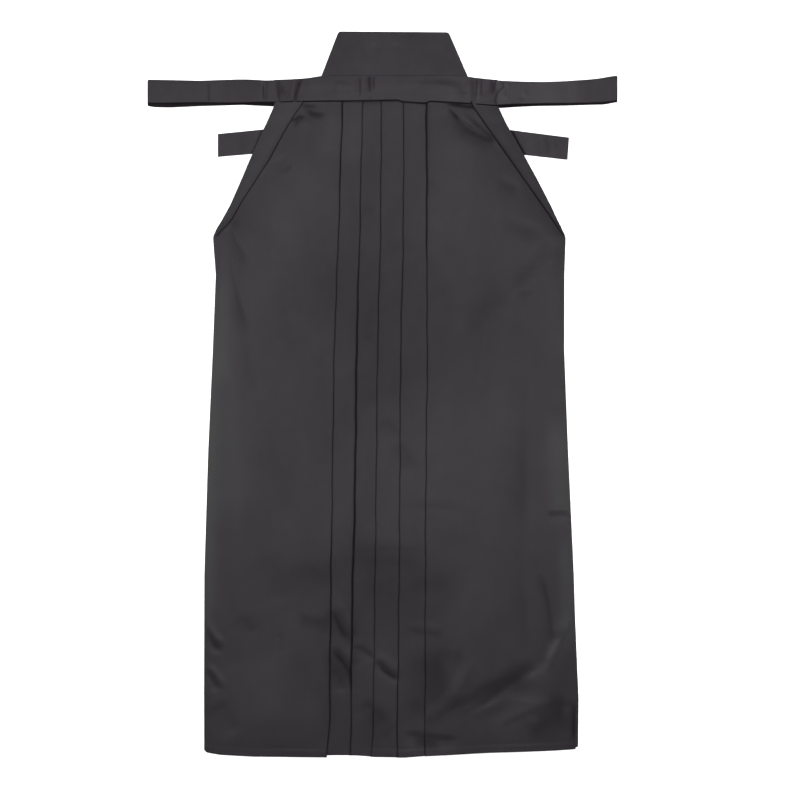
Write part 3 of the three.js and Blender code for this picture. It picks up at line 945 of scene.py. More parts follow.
def front_rows():
    """Where the rows of a front are, closer near the waist and the hem, where creases are fine."""
    near_waist = np.arange(PANEL_TOP, FINE_ABOVE, -2.3)
    middle = np.arange(FINE_ABOVE, FINE_BELOW, -4.4)
    near_hem = np.linspace(FINE_BELOW, HEM_Y, 106)
    return np.concatenate([near_waist, middle, near_hem])


# %% Front panels
SHOWN_AT_CENTRE = 45.0
SHOWN_BETWEEN_FOLDS = 38.0
HIDDEN_COLUMNS = 3
RETURN_COLUMNS = 7
PANEL_COLUMNS = 74
PLEATS_BLEND = 40


def front_panel(side):
    """One front: a grid that runs through its pleats and out to the side, creased, with painted shade and
    sheen.
    """
    outward = OUTWARD[side]
    y_rows = front_rows()
    depth = read(PLEAT_DEPTHS, y_rows, "depth")
    path = FoldedPath(y_rows)
    z = height_of_base(y_rows)
    start = np.full_like(y_rows, CENTRE_X + outward * 0.2)
    lift, lift_at, tone, reach = 0.0, None, 0.0, 1.0
    fine = SHOWN_AT_CENTRE if side == "right" else 0.0
    radius = PITCH / 2
    for line in FOLDS[side]:
        edge = fold_edge(y_rows, line)
        inside = edge + outward * (depth - radius)
        path.run(start, inside, z, HIDDEN_COLUMNS, fine, lift, lift_at, tone, reach)
        fine = SHOWN_BETWEEN_FOLDS
        path.fold(edge + outward * depth, z, z + PITCH, outward)
        lift = read(FOLD_LIFTS[line], y_rows, "lift") * ease((426 - y_rows) / 14)
        lift_at = edge
        path.run_back(inside, edge + outward * radius, z + PITCH, RETURN_COLUMNS, lift, lift_at)
        # Painted shade: a dark line in the fold's turn and on the cloth beside the fold edge.
        tone = read(FOLD_SHADES[line], y_rows, "tone")
        reach = read(FOLD_SHADES[line], y_rows, "reach")
        path.fold(edge, z + PITCH, z + 2 * PITCH, -outward, lift, tone)
        start = edge + outward * radius
        z = z + 2 * PITCH
    stack = len(path.x)
    side_edge = read(SIDES, y_rows, side)
    path.run(start, side_edge, np.zeros_like(y_rows), PANEL_COLUMNS, 0.0, lift, lift_at, tone, reach)
    x, z, painted_shade_and_sheen = path.arrays()
    y = np.repeat(y_rows[:, None], x.shape[1], axis=1)
    z[:, stack:] += panel_height(side, x[:, stack:], y[:, stack:])
    in_pleats = ease((outward * (shoulder_line(side, y) - x) + PLEATS_BLEND / 2) / PLEATS_BLEND)
    z += pleat_height(x, y) * in_pleats
    on_panel = np.arange(x.shape[1]) >= stack - (FOLD_STEPS - 1)
    shift = np.where(on_panel[None, :], hem_shift(side, x, y, True), hem_shift(side, x, y, False))
    y = y + shift
    hem_line = y[-1:, :]
    z += hem_height(y - hem_line) * (0.6 + 0.4 * np.sin(x / 27))
    creases = crease_sum(x, y, PLEAT_CREASES + LEG_CREASES[side])
    # Painted shade and sheen: the broad zones, the shade lines of creases, and shade and highlight along
    # every crease.
    painted_shade_and_sheen = painted_shade_and_sheen + crease_sum(x, y, SHADE_AND_SHEEN_ZONES + CREASE_SHADE_LINES) + crease_shade_and_highlight(creases)
    painted_shade_and_sheen += hem_edge_shade(x, y - hem_line)
    return grid_sheet(f"front_cloth_{side}", x, y, z, painted_shade_and_sheen)


FRONT_CUTS = {"right": ((0.52, 0.97), 0.45), "left": ((0.65, 0.97), 0.546)}

for side, (flat, area) in FRONT_CUTS.items():
    front = front_panel(side)
    finish_sheet(front, f"front_panel_{side}", CLOTH)

# %% [markdown]
# ## The side folds
# Down each side opening the front's edge is turned over to the outside and stitched: a leaf of
# cloth, wide at the waist and narrow at the foot of the opening. It lies on the panel, so it takes
# the panel's own height plus a layer. Its inner edge stands up a little as a lip, with a dark line of
# painted shade along it, and the leaf is painted a little paler as sheen. The leaf puckers towards
# the stitched outer edge.

# %% Side folds
SIDE_FOLD_SHEEN = {"right": 1.9, "left": 0.8}
SHADED_LIP_COLUMNS = {"right": 2, "left": 3}
LEAF_TOP = 427.5
LEAF_FOOT = 231.5
LEAF_ROWS = 96
LIP_STATIONS = np.array([[0.0, 0.9, 1.5, 2.4]])
LIP_SHARES = np.array([[0.0, 0.1, 0.2, 0.3]])
LIP_LIFT = 0.8
PUCKER = 0.12


def side_fold(side):
    """One leaf: close columns along its inner lip, at most a share of its width, then even ones."""
    outward = OUTWARD[side]
    y_rows = np.linspace(LEAF_TOP, LEAF_FOOT, LEAF_ROWS)[:, None]
    inner = read_soft(SIDE_FOLDS, y_rows, side, 6)
    outer = read_soft(SIDES, y_rows, side, 3) - outward * 0.2
    width = np.abs(outer - inner)
    lip_columns = np.minimum(LIP_STATIONS, width * LIP_SHARES)
    wide_columns = lip_columns[:, -1:] + (width - lip_columns[:, -1:]) * np.linspace(0, 1, 14)[None, 1:]
    from_inner = np.concatenate([lip_columns, wide_columns], axis=1)
    across = from_inner / width
    x = inner + outward * from_inner
    y = np.repeat(y_rows, x.shape[1], axis=1)
    z = panel_height(side, x, y, with_creases=False) + PITCH
    lip = LIP_LIFT * np.exp(-(((x - inner) / 4) ** 2)) * (0.7 + 0.3 * np.sin(y / 17))
    pucker = PUCKER * np.sin(y / 5.3 + 1.7 * np.sin(y / 13)) * across
    # The leaf is painted paler as sheen, and the first columns of its lip are painted darkest as shade.
    painted_shade_and_sheen = np.full_like(x, SIDE_FOLD_SHEEN[side])
    painted_shade_and_sheen[:, :SHADED_LIP_COLUMNS[side]] = DEEPEST_SHADE
    return grid_sheet(f"side_fold_cloth_{side}", x, y, z + lip + pucker, painted_shade_and_sheen)


for side in ("right", "left"):
    leaf = side_fold(side)
    finish_sheet(leaf, f"side_fold_{side}", CLOTH)

# %% [markdown]
# ## The backs and the gusset
# The backs lie flat on the table. At the centre each is folded in on itself, so that two pleat
# edges meet down the middle. The gusset is a small kite between front and back, where the legs
# join. Both are nearly hidden, so their creases are few and their columns far apart.

# %% Back panels
BACK_DEPTHS = table("y depth", (441.3, 35), (-500, 60))
BACK_CREASES = [
    (-40, 300, -150, 180, 8, 0.5, 5),
    (60, 250, 170, 120, 8, 0.5, -5),
    (-200, -100, -120, -220, 10, 0.5, 6),
    (230, -220, 130, -330, 9, 0.5, 4),
    (-180, -380, -90, -440, 8, 0.4, 3),
    (90, -400, 190, -470, 9, 0.5, -3),
]
BACK_ROWS = 165
BACK_COLUMNS = 56
BACK_PLEAT_COLUMNS = 10


def back_panel(side):
    """One back: in from the side, folded at the centre, out, folded again, and back to the centre."""
    outward = OUTWARD[side]
    y_rows = np.linspace(BACK_TOP, HEM_Y, BACK_ROWS)
    depth = read(BACK_DEPTHS, y_rows, "depth")
    centre = np.full_like(y_rows, CENTRE_X + outward * 0.15)
    inside = centre + outward * depth
    edge = read(BACK_SIDES, y_rows, side)
    path = FoldedPath(y_rows)
    radius = PITCH / 2
    path.run(edge, centre + outward * radius, BACK_Z, BACK_COLUMNS)
    path.fold(centre, BACK_Z, BACK_Z + PITCH, -outward)
    path.run(centre + outward * radius, inside - outward * radius, BACK_Z + PITCH, BACK_PLEAT_COLUMNS)
    path.fold(inside, BACK_Z + PITCH, BACK_Z + 2 * PITCH, outward)
    path.run(inside - outward * radius, centre, BACK_Z + 2 * PITCH, BACK_PLEAT_COLUMNS)
    x, z, painted_shade_and_sheen = path.arrays()
    y = np.repeat(y_rows[:, None], x.shape[1], axis=1)
    beyond_pleat = ease((np.abs(x - CENTRE_X) - 70) / 40) * ease((edge[:, None] - x) * outward / 25)
    z += np.abs(crease_sum(x, y, BACK_CREASES)) * beyond_pleat
    y = y + hem_shift(side, x, y, True) + 1.5 * ease((-480 - y) / 50)
    return grid_sheet(f"back_cloth_{side}", x, y, z, painted_shade_and_sheen)


for side in ("right", "left"):
    back = back_panel(side)
    finish_sheet(back, f"back_panel_{side}", CLOTH)

# %% Gusset
GUSSET_LOW, GUSSET_HIGH = span("crotch_gusset")


def kite(corners, steps):
    """A grid of points stretched over a kite, given foot, left, top and right corners."""
    foot, left, top, right = (np.array(corner, float) for corner in corners)
    u, v = np.meshgrid(np.linspace(0, 1, steps), np.linspace(0, 1, steps))
    u, v = u[..., None], v[..., None]
    places = foot * (1 - u) * (1 - v) + right * u * (1 - v) + top * u * v + left * (1 - u) * v
    return places[..., 0], places[..., 1]


GUSSET_CORNERS = [
    (CENTRE_X, GUSSET_LOW[1]),
    (GUSSET_LOW[0], 0),
    (CENTRE_X, GUSSET_HIGH[1]),
    (GUSSET_HIGH[0], 0),
]
gusset_x, gusset_y = kite(GUSSET_CORNERS, 24)
gusset = grid_sheet("gusset_cloth", gusset_x, gusset_y, GUSSET_Z + 0.05 * unevenness(gusset_x, gusset_y))
finish_sheet(gusset, "crotch_gusset", CLOTH)

# %% [markdown]
# ## The board at the back of the waist
# A stiff trapezoid wrapped in the same cloth. It starts as a grid stretched over the trapezoid,
# with its corners pulled in to arcs. Solidify gives it its thickness and Bevel rounds the wrapped
# edges. Three faint dents and one low swell show where the wrapping has slackened over the stiff
# core.

# %% Outline of the board
BOARD_CORNERS = {
    "foot_right": (-99.2, 441.6),
    "foot_left": (135.5, 441.6),
    "top_left": (97.0, 530.4),
    "top_right": (-64.4, 531.6),
}
BOARD_DENTS = [
    (-16, 511, -3, 507, 3, -0.35, 0),
    (12, 512, 30, 507, 3, -0.4, 1),
    (74, 468, 104, 467, 2, -0.3, 0),
    (-20, 520, 60, 522, 9, 0.3, 2),
]


def rounded(u, v, radius_u, radius_v):
    """Pulls the corners of a unit square in to arcs."""
    du = np.clip(np.abs(u - 0.5) - (0.5 - radius_u), 0, None) / radius_u
    dv = np.clip(np.abs(v - 0.5) - (0.5 - radius_v), 0, None) / radius_v
    in_corner = np.minimum(du, dv) > 0
    pull = np.where(in_corner, np.maximum(du, dv) / np.maximum(np.hypot(du, dv), 1e-9), 1.0)
    new_u = 0.5 + np.sign(u - 0.5) * (0.5 - radius_u + radius_u * du * pull)
    new_v = 0.5 + np.sign(v - 0.5) * (0.5 - radius_v + radius_v * dv * pull)
    return np.where(in_corner, new_u, u), np.where(in_corner, new_v, v)


# %% Back board
BOARD_MARGIN = 0.4
WRAP_RADIUS = 1.1
SLACK_WAVES = 0.25
UPPER_FACE_Z = 0.002


def back_board():
    """The wrapped board, whose slack is added to its upper face alone, so it stays flat below."""
    u, v = np.meshgrid(np.linspace(0, 1, 80), np.linspace(0, 1, 36))
    u, v = rounded(u, v, 0.02, 0.04)
    foot_right, foot_left, top_left, top_right = (np.array(c) for c in BOARD_CORNERS.values())
    u3, v3 = u[..., None], v[..., None]
    places = (foot_right * (1 - u3) + foot_left * u3) * (1 - v3) + (top_right * (1 - u3) + top_left * u3) * v3
    x, y = places[..., 0], places[..., 1]
    z = np.full_like(x, BOARD_TOP_Z / 2 + 0.1)
    board = grid_sheet("board_cloth", x, y, z, thick=BOARD_TOP_Z - BOARD_MARGIN)
    wrap = board.modifiers.new("wrapped_edge", "BEVEL")
    wrap.width = WRAP_RADIUS * MM
    wrap.segments = 3
    wrap.limit_method = "ANGLE"
    wrap.angle_limit = math.radians(60)
    bpy.ops.object.modifier_apply(modifier=wrap.name)
    points = np.zeros(len(board.data.vertices) * 3, np.float32)
    board.data.vertices.foreach_get("co", points)
    points = points.reshape(-1, 3)
    px, py = points[:, 0] / MM, points[:, 1] / MM
    upper = points[:, 2] > UPPER_FACE_Z
    slack = crease_sum(px, py, BOARD_DENTS) + SLACK_WAVES * unevenness(px * 2, py * 2)
    points[:, 2] += np.where(upper, slack * MM, 0)
    board.data.vertices.foreach_set("co", points.ravel())
    board.data.update()
    bpy.ops.object.shade_smooth_by_angle(angle=SMOOTH_ANGLE)
    return board


board = back_board()
flat = (0.235, 0.09)
finish_sheet(board, "back_board", BOARD_CLOTH)

# %% [markdown]
# ## The front waistband
# A band folded over the top edge of the front. Its back wall lies under the front's top edge, and
# its front wall eases over the pleats and comes down to the board at the top, so its upper edge
# hardly shows. It is one sheet: up the back wall, round the top in a half turn, and down the front
# wall to its foot, where a dark line of painted shadow lies along it. Its top turn is painted darker
# as shade, and the rest of it paler as sheen.

# %% Outline and creases of the band
BAND = table(
    "x foot top",
    (-158.4, 425.8, 459.2),
    (-135, 426.6, 459.8),
    (-109, 426.9, 461.6),
    (-91, 427.0, 464.8),
    (-60, 427.2, 466.0),
    (24, 428.6, 466.2),
    (30, 426.0, 466.2),
    (62, 423.6, 466.0),
    (70, 426.5, 465.8),
    (120, 423.6, 465.0),
    (128, 423.0, 463.2),
    (150, 421.8, 460.6),
    (168.7, 420.8, 459.0),
)
BAND_CREASES = [
    (-34.5, 463, -34, 436, 2.0, -0.75, 0),
    (-19.8, 466, -18, 440, 1.8, -0.9, 1),
    (-13.9, 465, -15, 444, 2.0, 0.9, 0),
    (-119, 462, -128, 424, 1.6, -0.9, 1),
    (-126, 462, -134, 424, 3.0, 0.6, 1),
    (-153, 462, -152, 424, 1.6, -0.7, 0),
    (-150, 452, -146, 438, 3.0, -0.6, 0),
    (136, 463, 135, 424, 2.2, -0.9, 0),
    (143, 462, 142, 430, 2.0, 0.75, 0),
    (118, 458, 121, 432, 3.0, -0.75, 0),
    (163.5, 461, 163, 440, 1.8, -1.35, 0),
    (-70, 450, -40, 447, 6.0, 0.6, 0),
    (80, 452, 112, 446, 5.0, 0.6, 0),
]

# %% What the band has to clear
def stack_height(x, y):
    """The top of the cloth that the band has to clear, from one end of the front to the other."""
    pleats = height_of_base(y) + 4 * PITCH
    right = panel_height("right", x, y, with_creases=False)
    left = panel_height("left", x, y, with_creases=False)
    onto_left = ease((x - 40) / 26)
    return np.where(x < read(PLEAT_LINES, y, "a"), right, pleats * (1 - onto_left) + left * onto_left)


# %% Waistband
BAND_THICK = 0.9
BAND_CREST = 434
BAND_COLUMNS = 300
BACK_WALL = np.linspace(0, 1, 8)
TOP_TURN = np.linspace(-0.75, 0.75, 5)
FRONT_WALL = np.concatenate([np.linspace(1, 0.07, 25), [0.035, 0.02, 0.0]])
SHADOWED_FOOT_ROWS = 3
CREASE_GAIN = 1.4
TOP_BULGE = 0.7
TOP_TURN_SHADE = 0.4


def band_front_height(x, y, foot, top, edge_z):
    """The front wall: over the pleats, down to its top edge, creased, and rolled in at its foot."""
    over = stack_height(x, np.minimum(y, PANEL_TOP)) + PITCH + 0.15
    crest = ease((y - BAND_CREST) / (top - BAND_CREST + 1))
    z = over + (edge_z - over) * crest
    z = z + CREASE_GAIN * crease_sum(x, y, BAND_CREASES) + 0.4 * unevenness(3 * x, y)
    roll = ease((y - foot) / 4)
    return z + 0.5 * np.exp(-(((y - foot - 2.0) / 3.0) ** 2)) - 0.35 * (1 - roll)


def waistband():
    """The band from foot to foot. The turn goes from -1 on its back wall to 1 on its front wall."""
    x_rows = np.linspace(BAND_ENDS["right"], BAND_ENDS["left"], BAND_COLUMNS)[:, None]
    foot = read(BAND, x_rows, "foot")
    top = read_soft(BAND, x_rows, "top", 7)
    stations = np.concatenate([BACK_WALL, np.full_like(TOP_TURN, 1.0), FRONT_WALL])[None, :]
    turn = np.concatenate([np.full_like(BACK_WALL, -1.0), TOP_TURN, np.full_like(FRONT_WALL, 1.0)])[None, :]
    y = foot + (top - foot) * stations
    x = np.repeat(x_rows, y.shape[1], axis=1)
    back_z = FRONT_Z - 0.2 - 1.2 * ease((y - 450) / 14)
    front_z = band_front_height(x, y, foot, top, back_z + 1.4)
    angle = turn * math.pi / 2
    z = (front_z + back_z) / 2 + (front_z - back_z) / 2 * np.sin(angle)
    y = y + np.where(np.abs(turn) < 1, TOP_BULGE * np.cos(angle), 0)
    # Painted sheen: paler away from the top edge and towards the wearer's left end, besides the creases'
    # painted shade and highlight.
    painted_shade_and_sheen = crease_shade_and_highlight(crease_sum(x, y, BAND_CREASES)) + ease((top - y) / 16) + ease((x - 60) / 60)
    # Painted shade over the turn at the top.
    painted_shade_and_sheen = painted_shade_and_sheen - TOP_TURN_SHADE * (np.abs(turn) < 1)
    painted_shade_and_sheen += crease_sum(x, y, CREASE_SHADE_LINES)
    # Painted shadow along the foot, where the band lies over the front.
    painted_shade_and_sheen[:, -SHADOWED_FOOT_ROWS:] = DEEPEST_SHADE
    return grid_sheet("waistband_cloth", x, y, z, painted_shade_and_sheen, BAND_THICK)


band = waistband()
flat = (0.328, 0.078)
finish_sheet(band, "front_waistband", TIE_CLOTH)

# %% [markdown]
# ## The ties
# Each tie is a flat strip of several plies. A front tie leaves the end of the waistband, folds
# under at its outer end and comes back below itself. A back tie is sewn across the foot of the
# board, is tucked down and in under the front, and shows only its free end. The strip's path is
# given by its two edges, and it is filled in between them. A front tie's tables run outwards, from
# the band to the fold, for the upper strip and for the one that returns below it.

# %% Edges of the front ties
FRONT_TIE_EDGES = {
    "right": {
        "out": table(
            "x top foot",
            (158.8, 459.2, 425.8),
            (171, 458.9, 425.9),
            (197, 460.9, 425.4),
            (215, 461.1, 425.0),
            (241, 460.3, 425.2),
            (268, 459.2, 425.8),
            (303, 460.1, 425.0),
            (338, 460.8, 424.8),
            (344, 460.8, 425.0),
        ),
        "back": table(
            "x top foot",
            (150, 455.0, 421.4),
            (180, 457.0, 422.6),
            (206, 458.4, 424.0),
            (232, 457.6, 423.1),
            (268, 456.9, 422.1),
            (312, 455.5, 420.0),
            (336, 456.0, 420.6),
            (344, 458.0, 422.6),
        ),
    },
    "left": {
        "out": table(
            "x top foot",
            (169.1, 459.0, 421.0),
            (187, 458.0, 422.6),
            (216, 457.6, 423.8),
            (238, 457.6, 424.4),
            (268, 458.7, 424.6),
            (297, 460.6, 425.0),
            (319, 462.7, 425.6),
            (334, 465.6, 426.8),
            (344, 466.6, 428.8),
        ),
        "back": table(
            "x top foot",
            (154, 456.0, 420.4),
            (172, 455.6, 419.3),
            (202, 455.0, 421.2),
            (231, 455.4, 422.4),
            (268, 456.0, 422.8),
            (304, 457.6, 424.0),
            (326, 459.6, 424.4),
            (338, 462.0, 427.0),
            (344, 464.4, 428.0),
        ),
    },
}

# %% Creases and painted sheen of the front ties
FRONT_TIE_CREASES = {
    "right": [
        (-171, 459, -172, 430, 1.8, -0.8, 0),
        (-178, 458, -177, 432, 3.0, 0.5, 0),
        (-254.5, 458, -255, 428, 2.0, -0.6, 0),
        (-262, 459, -261, 436, 3.0, 0.4, 0),
        (-305, 456, -312, 430, 6.0, 0.4, 0),
        (-215, 458, -222, 428, 7.0, 0.4, 0),
    ],
    "left": [
        (177.4, 458, 176.5, 448, 1.8, -1.1, 0),
        (176.5, 449, 167, 441, 1.8, -1.1, 0),
        (167, 442, 164.6, 424, 1.8, -1.1, 0),
        (183, 457, 182, 430, 3.0, 0.7, 0),
        (182, 452, 181, 436, 1.6, -0.8, 0),
        (203, 436, 210, 430, 2.5, -0.6, 0),
        (207, 444, 214, 436, 2.5, 0.5, 0),
        (273, 458, 271, 428, 4.0, -0.5, 0),
        (286, 460, 284, 428, 5.0, 0.6, 0),
        (309, 462, 307, 428, 4.0, -0.5, 0),
        (240, 440, 262, 438, 6.0, 0.4, 0),
    ],
}
TIE_SHEEN = {
    "right": table("x tone", (158, 0.6), (344, 0.2)),
    "left": table("x tone", (169, 3.2), (200, 2.6), (240, 3.4), (270, 2.6), (298, 0.9), (344, 0.2)),
}

# %% Strips
TIE_ROWS = 23
TIE_WIDTH = 33.0
EDGE_ROLL = 0.7
ROLL_REACH = 4.5


def rolled(share):
    """How far a strip's long edges roll down, for a place across it from 0 to 1."""
    from_edge = np.minimum(share, 1 - share) * TIE_WIDTH
    return -EDGE_ROLL * (1 - ease(from_edge / ROLL_REACH)) ** 2


def strip_between(edges, side, x_out):
    """Points across a strip at distances out from the middle, between its top and foot edges."""
    share = np.linspace(0, 1, TIE_ROWS)[:, None]
    top = read_soft(edges, x_out, "top", 5)
    foot = read_soft(edges, x_out, "foot", 5)
    y = foot + (top - foot) * share
    x = np.repeat((OUTWARD[side] * x_out)[None, :], TIE_ROWS, axis=0)
    return x, y


# %% Heights of a front tie
OUT_Z = 1.85
OUT_LIFT = 0.5
ROLL_LIFT = 0.4
OUT_LOWEST = 2.3
SETTLED_AT = 230.0
RETURN_Z = 0.55
RETURN_RISE = 0.9
RETURN_RISE_SHARE = 0.22


def tie_out_height(side, x, y, start):
    """The upper strip comes down from the band to lie on the one that returns below it."""
    settle = ease((SETTLED_AT - np.abs(x)) / (SETTLED_AT - start))
    z = OUT_Z + (WAIST_Z - OUT_Z) * settle
    share = np.linspace(0, 1, TIE_ROWS)[:, None]
    z = z + OUT_LIFT + crease_sum(x, y, FRONT_TIE_CREASES[side]) + 0.35 * unevenness(2 * x, 3 * y)
    return np.maximum(z + ROLL_LIFT + rolled(share), OUT_LOWEST)


def tie_return_height(x):
    """The returning strip lies on the table, lowest along its foot."""
    share = np.linspace(0, 1, TIE_ROWS)[:, None]
    return RETURN_Z + RETURN_RISE * ease(share / RETURN_RISE_SHARE) + np.zeros_like(x)


# %% Front ties
TIE_THICK = 1.0
UNDER_BAND = 2.0
TURN_ROOM = 0.7
OUT_COLUMNS = 170
RETURN_END = 152
RETURN_TIE_COLUMNS = 80
TURN_BULGE = np.array([0.5, 0.75, 0.5])
TURN_SHARES = np.array([0.25, 0.5, 0.75])
RETURN_SHADOW = -3.0


def front_tie(side):
    """Out from under the band, half a turn at the outer end, and back below."""
    edges = FRONT_TIE_EDGES[side]
    start = abs(BAND_ENDS[side]) - UNDER_BAND
    end = abs(TIE_ENDS[side]) - TURN_ROOM
    out_x, out_y = strip_between(edges["out"], side, np.linspace(start, end, OUT_COLUMNS))
    back_x, back_y = strip_between(edges["back"], side, np.linspace(end, RETURN_END, RETURN_TIE_COLUMNS))
    out_z = tie_out_height(side, out_x, out_y, start)
    back_z = tie_return_height(back_x)
    turn_x = out_x[:, -1:] + OUTWARD[side] * TURN_BULGE
    turn_y = out_y[:, -1:] + (back_y[:, :1] - out_y[:, -1:]) * TURN_SHARES
    turn_z = back_z[:, :1] + (1 - TURN_SHARES) * (out_z[:, -1:] - back_z[:, :1])
    x = np.concatenate([out_x, turn_x, back_x], axis=1)
    y = np.concatenate([out_y, turn_y, back_y], axis=1)
    z = np.concatenate([out_z, turn_z, back_z], axis=1)
    painted_shade_and_sheen = crease_shade_and_highlight(crease_sum(x, y, FRONT_TIE_CREASES[side]))
    # Painted sheen along each tie, paler on the left one.
    painted_shade_and_sheen = painted_shade_and_sheen + read(TIE_SHEEN[side], np.abs(x), "tone")
    painted_shade_and_sheen += crease_sum(x, y, CREASE_SHADE_LINES)
    # Painted shade along the strip's foot edge.
    painted_shade_and_sheen[:2, :] = DEEPEST_SHADE
    share = np.linspace(0, 1, TIE_ROWS)[:, None]
    # Painted shadow over the strip that returns below the upper one.
    painted_shade_and_sheen[:, -RETURN_TIE_COLUMNS:] = RETURN_SHADOW * ease((share - 0.01) / 0.03)
    return grid_sheet(f"front_tie_cloth_{side}", x, y, z, painted_shade_and_sheen, TIE_THICK)


for side in ("right", "left"):
    tie = front_tie(side)
    finish_sheet(tie, f"front_tie_{side}", TIE_CLOTH)

# %% [markdown]
# ## The back ties
# A back tie turns twice, each time with a slanting fold: at the end of the board it turns down and
# in, and under the front it turns out again to its free end. For each side the plan gives the free
# end's two corners, its slope, where the first turn is, and how wide and how dark the shade is
# where the tie comes out from under the side.

# %% Plan of the back ties
BACK_TIES = {
    "right": {
        "tip": ((-241.5, 381.6), (-241.5, 347.7)),
        "slope": 0.09,
        "turn_x": -150.0,
        "shade_reach": 2.5,
        "shade": 0.9,
    },
    "left": {
        "tip": ((273.6, 376.3), (271.4, 343.4)),
        "slope": -0.12,
        "turn_x": 160.0,
        "shade_reach": 4.5,
        "shade": 1.4,
    },
}
BACK_TIE_WIDTH = 35.0
BACK_TIE_Y = 440.0
BACK_TIE_CREASES = {
    "right": [(-207.5, 384, -208, 350, 2.0, -0.9, 0), (-222, 382, -220, 352, 5.0, 0.5, 0)],
    "left": [
        (236, 379, 243, 380, 2.0, -1.2, 0),
        (231, 372, 233, 350, 2.2, -1.5, 0),
        (224, 386, 223, 350, 4.0, 0.6, 0),
        (243, 381, 247, 352, 2.4, -1.5, 0),
        (240, 374, 239, 352, 3.0, 1.0, 0),
        (254, 378, 252, 350, 4.0, 0.9, 0),
        (262, 378, 256, 362, 2.4, -1.1, 0),
    ],
}


# %% Slanting folds
def unit(vector):
    """The same direction with length 1."""
    return np.array(vector, float) / np.hypot(*vector)


def turned(first, second):
    """How far the second direction turns from the first, as the third part of their cross product."""
    return first[0] * second[1] - first[1] * second[0]


def fold_ends(centre, incoming, outgoing):
    """The upper and lower end of a slanting fold across a strip that turns from one direction to another."""
    along = unit(incoming + outgoing)
    along = along if along[1] > 0 else -along
    reach = BACK_TIE_WIDTH / 2 / abs(turned(along, incoming))
    return centre + along * reach, centre - along * reach


# %% The run of a back tie
INWARD_RUN = (-0.58, -0.81)
BACK_TIE_ROWS = 12
LEG_LEVELS = (4.4, 3.1, 1.8)
LEG_COLUMNS = (40, 24, 60)


def back_tie_columns(side):
    """Every column across the tie, as its points from foot to top and its height, along its three legs."""
    outward = OUTWARD[side]
    plan = BACK_TIES[side]
    inward = unit((INWARD_RUN[0] * outward, INWARD_RUN[1]))
    away = unit((outward, outward * plan["slope"]))
    turn = np.array([plan["turn_x"], BACK_TIE_Y])
    tip = np.array(plan["tip"])
    second = turn + inward * turned(tip.mean(axis=0) - turn, away) / turned(inward, away)
    middle = CENTRE_X + outward * 0.3
    seam = [(middle, BACK_TIE_Y + BACK_TIE_WIDTH / 2), (middle, BACK_TIE_Y - BACK_TIE_WIDTH / 2)]
    ends = [seam, fold_ends(turn, np.array([outward, 0.0]), inward), fold_ends(second, inward, away), tip]
    share = np.linspace(0, 1, BACK_TIE_ROWS)[:, None]
    columns = []
    for first, last, level, steps in zip(ends, ends[1:], LEG_LEVELS, LEG_COLUMNS):
        for t in np.linspace(0, 1, steps):
            top, foot = np.array(first) + (np.array(last) - np.array(first)) * t
            columns.append((foot + (top - foot) * share, level))
    return columns


# %% Back ties
BACK_TIE_THICK = 0.9
TAIL_FROM = 190
TAIL_OVER = 30
TAIL_DROP = 1.25
TAIL_TONE = 0.4
SHADE_TONE = -3.0
TABLE_CLEARANCE = 0.55


def back_tie(side):
    """The whole tie. Its free end comes down to the table and is creased. The rest is hidden and flat."""
    plan = BACK_TIES[side]
    columns = back_tie_columns(side)
    x = np.stack([places[:, 0] for places, _ in columns], axis=1)
    y = np.stack([places[:, 1] for places, _ in columns], axis=1)
    levels = np.array([level for _, level in columns])
    z = np.repeat(levels[None, :], BACK_TIE_ROWS, axis=0)
    turn_at = np.abs(np.diff(levels, prepend=levels[0])) > 1
    z[:, turn_at] = (z[:, turn_at] + z[:, np.roll(turn_at, -1)]) / 2
    tail = ease((np.abs(x) - TAIL_FROM) / TAIL_OVER) * (z < 2)
    z = z - TAIL_DROP * tail
    creases = crease_sum(x, y, BACK_TIE_CREASES[side])
    z = z + (creases + 0.25 * unevenness(3 * x, 3 * y)) * tail
    from_side = np.abs(x) - np.abs(read(SIDES, y, side))
    beside_fold = np.exp(-((from_side / plan["shade_reach"]) ** 4))
    painted_shade_and_sheen = crease_shade_and_highlight(creases) + TAIL_TONE + SHADE_TONE * beside_fold * plan["shade"]
    z = np.maximum(z, TABLE_CLEARANCE)
    return grid_sheet(f"back_tie_cloth_{side}", x, y, z, painted_shade_and_sheen, BACK_TIE_THICK)


for side in ("right", "left"):
    tie = back_tie(side)
    finish_sheet(tie, f"back_tie_{side}", TIE_CLOTH)

# %% [markdown]
# ## Stitches
# A row of running stitches holds each side fold, a few millimetres inside its outer edge. One stitch
# is a short six-sided thread, and the row is that thread repeated along the edge and joined. A bump
# in the material could draw the row, but seen from the side it would be too shallow.

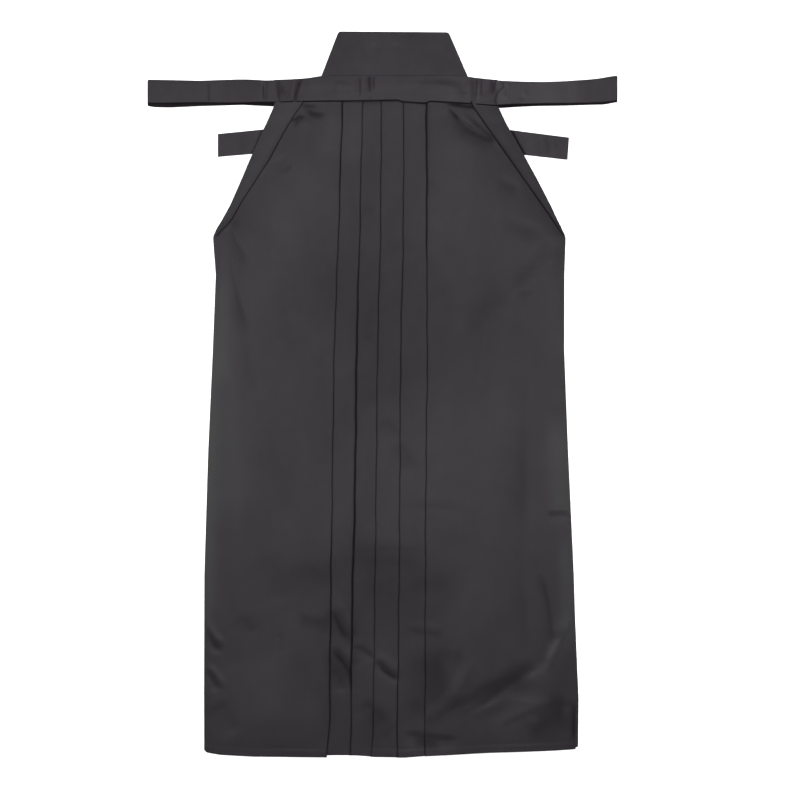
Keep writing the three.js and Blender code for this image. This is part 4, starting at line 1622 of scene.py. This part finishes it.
# %% Rows of stitches
STITCH_LENGTH = 3.0
STITCH_RADIUS = 0.22


def stitch_row(name, places, rests_on):
    """One stitch copied to each place, a point and a direction in millimetres, and the copies joined."""
    bpy.ops.object.select_all(action="DESELECT")
    bpy.ops.mesh.primitive_uv_sphere_add(segments=6, ring_count=6, radius=1)
    stitch = bpy.context.object
    shape = np.array([vertex.co for vertex in stitch.data.vertices])
    faces = [tuple(face.vertices) for face in stitch.data.polygons]
    shape = shape * np.array([STITCH_RADIUS, STITCH_RADIUS, STITCH_LENGTH / 2])
    points = []
    all_faces = []
    for place, direction in places:
        along = direction / np.linalg.norm(direction)
        sideways = np.cross(along, (0, 0, 1.0))
        sideways /= np.linalg.norm(sideways)
        upward = np.cross(sideways, along)
        start = len(points)
        points.extend(place + shape @ np.stack([sideways, upward, along]))
        all_faces.extend(tuple(start + corner for corner in face) for face in faces)
    stitch.data.clear_geometry()
    stitch.data.from_pydata([tuple(point * MM) for point in points], [], all_faces)
    stitch.name = name
    stitch.data.name = name
    stitch.data.materials.clear()
    stitch.data.materials.append(CLOTH)
    bpy.ops.object.shade_smooth()
    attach(stitch, "root")
    print(f"{name}: {len(places)} stitches on {rests_on}")


# %% The rows along the side folds
STITCHES_TOP = 421.0
STITCHES_FOOT = 246.0
STITCH_DOWN = 3.612
STITCH_INSIDE = 4.2
STITCH_RISE = 0.08


def side_fold_stitches(side):
    """Where each stitch of a side lies and which way it points."""
    y_places = np.arange(STITCHES_TOP, STITCHES_FOOT, -STITCH_DOWN)
    x_places = read_soft(SIDES, y_places, side, 3) - OUTWARD[side] * STITCH_INSIDE
    leaf_z = panel_height(side, x_places, y_places, with_creases=False) + PITCH
    line = np.stack([x_places, y_places, leaf_z + CLOTH_THICK / 2 + STITCH_RISE], axis=1)
    steps = np.gradient(line, axis=0)
    return [(place, step) for place, step in zip(line, steps)]


for side in ("right", "left"):
    stitch_row(f"side_fold_stitches_{side}", side_fold_stitches(side), f"side_fold_cloth_{side}")
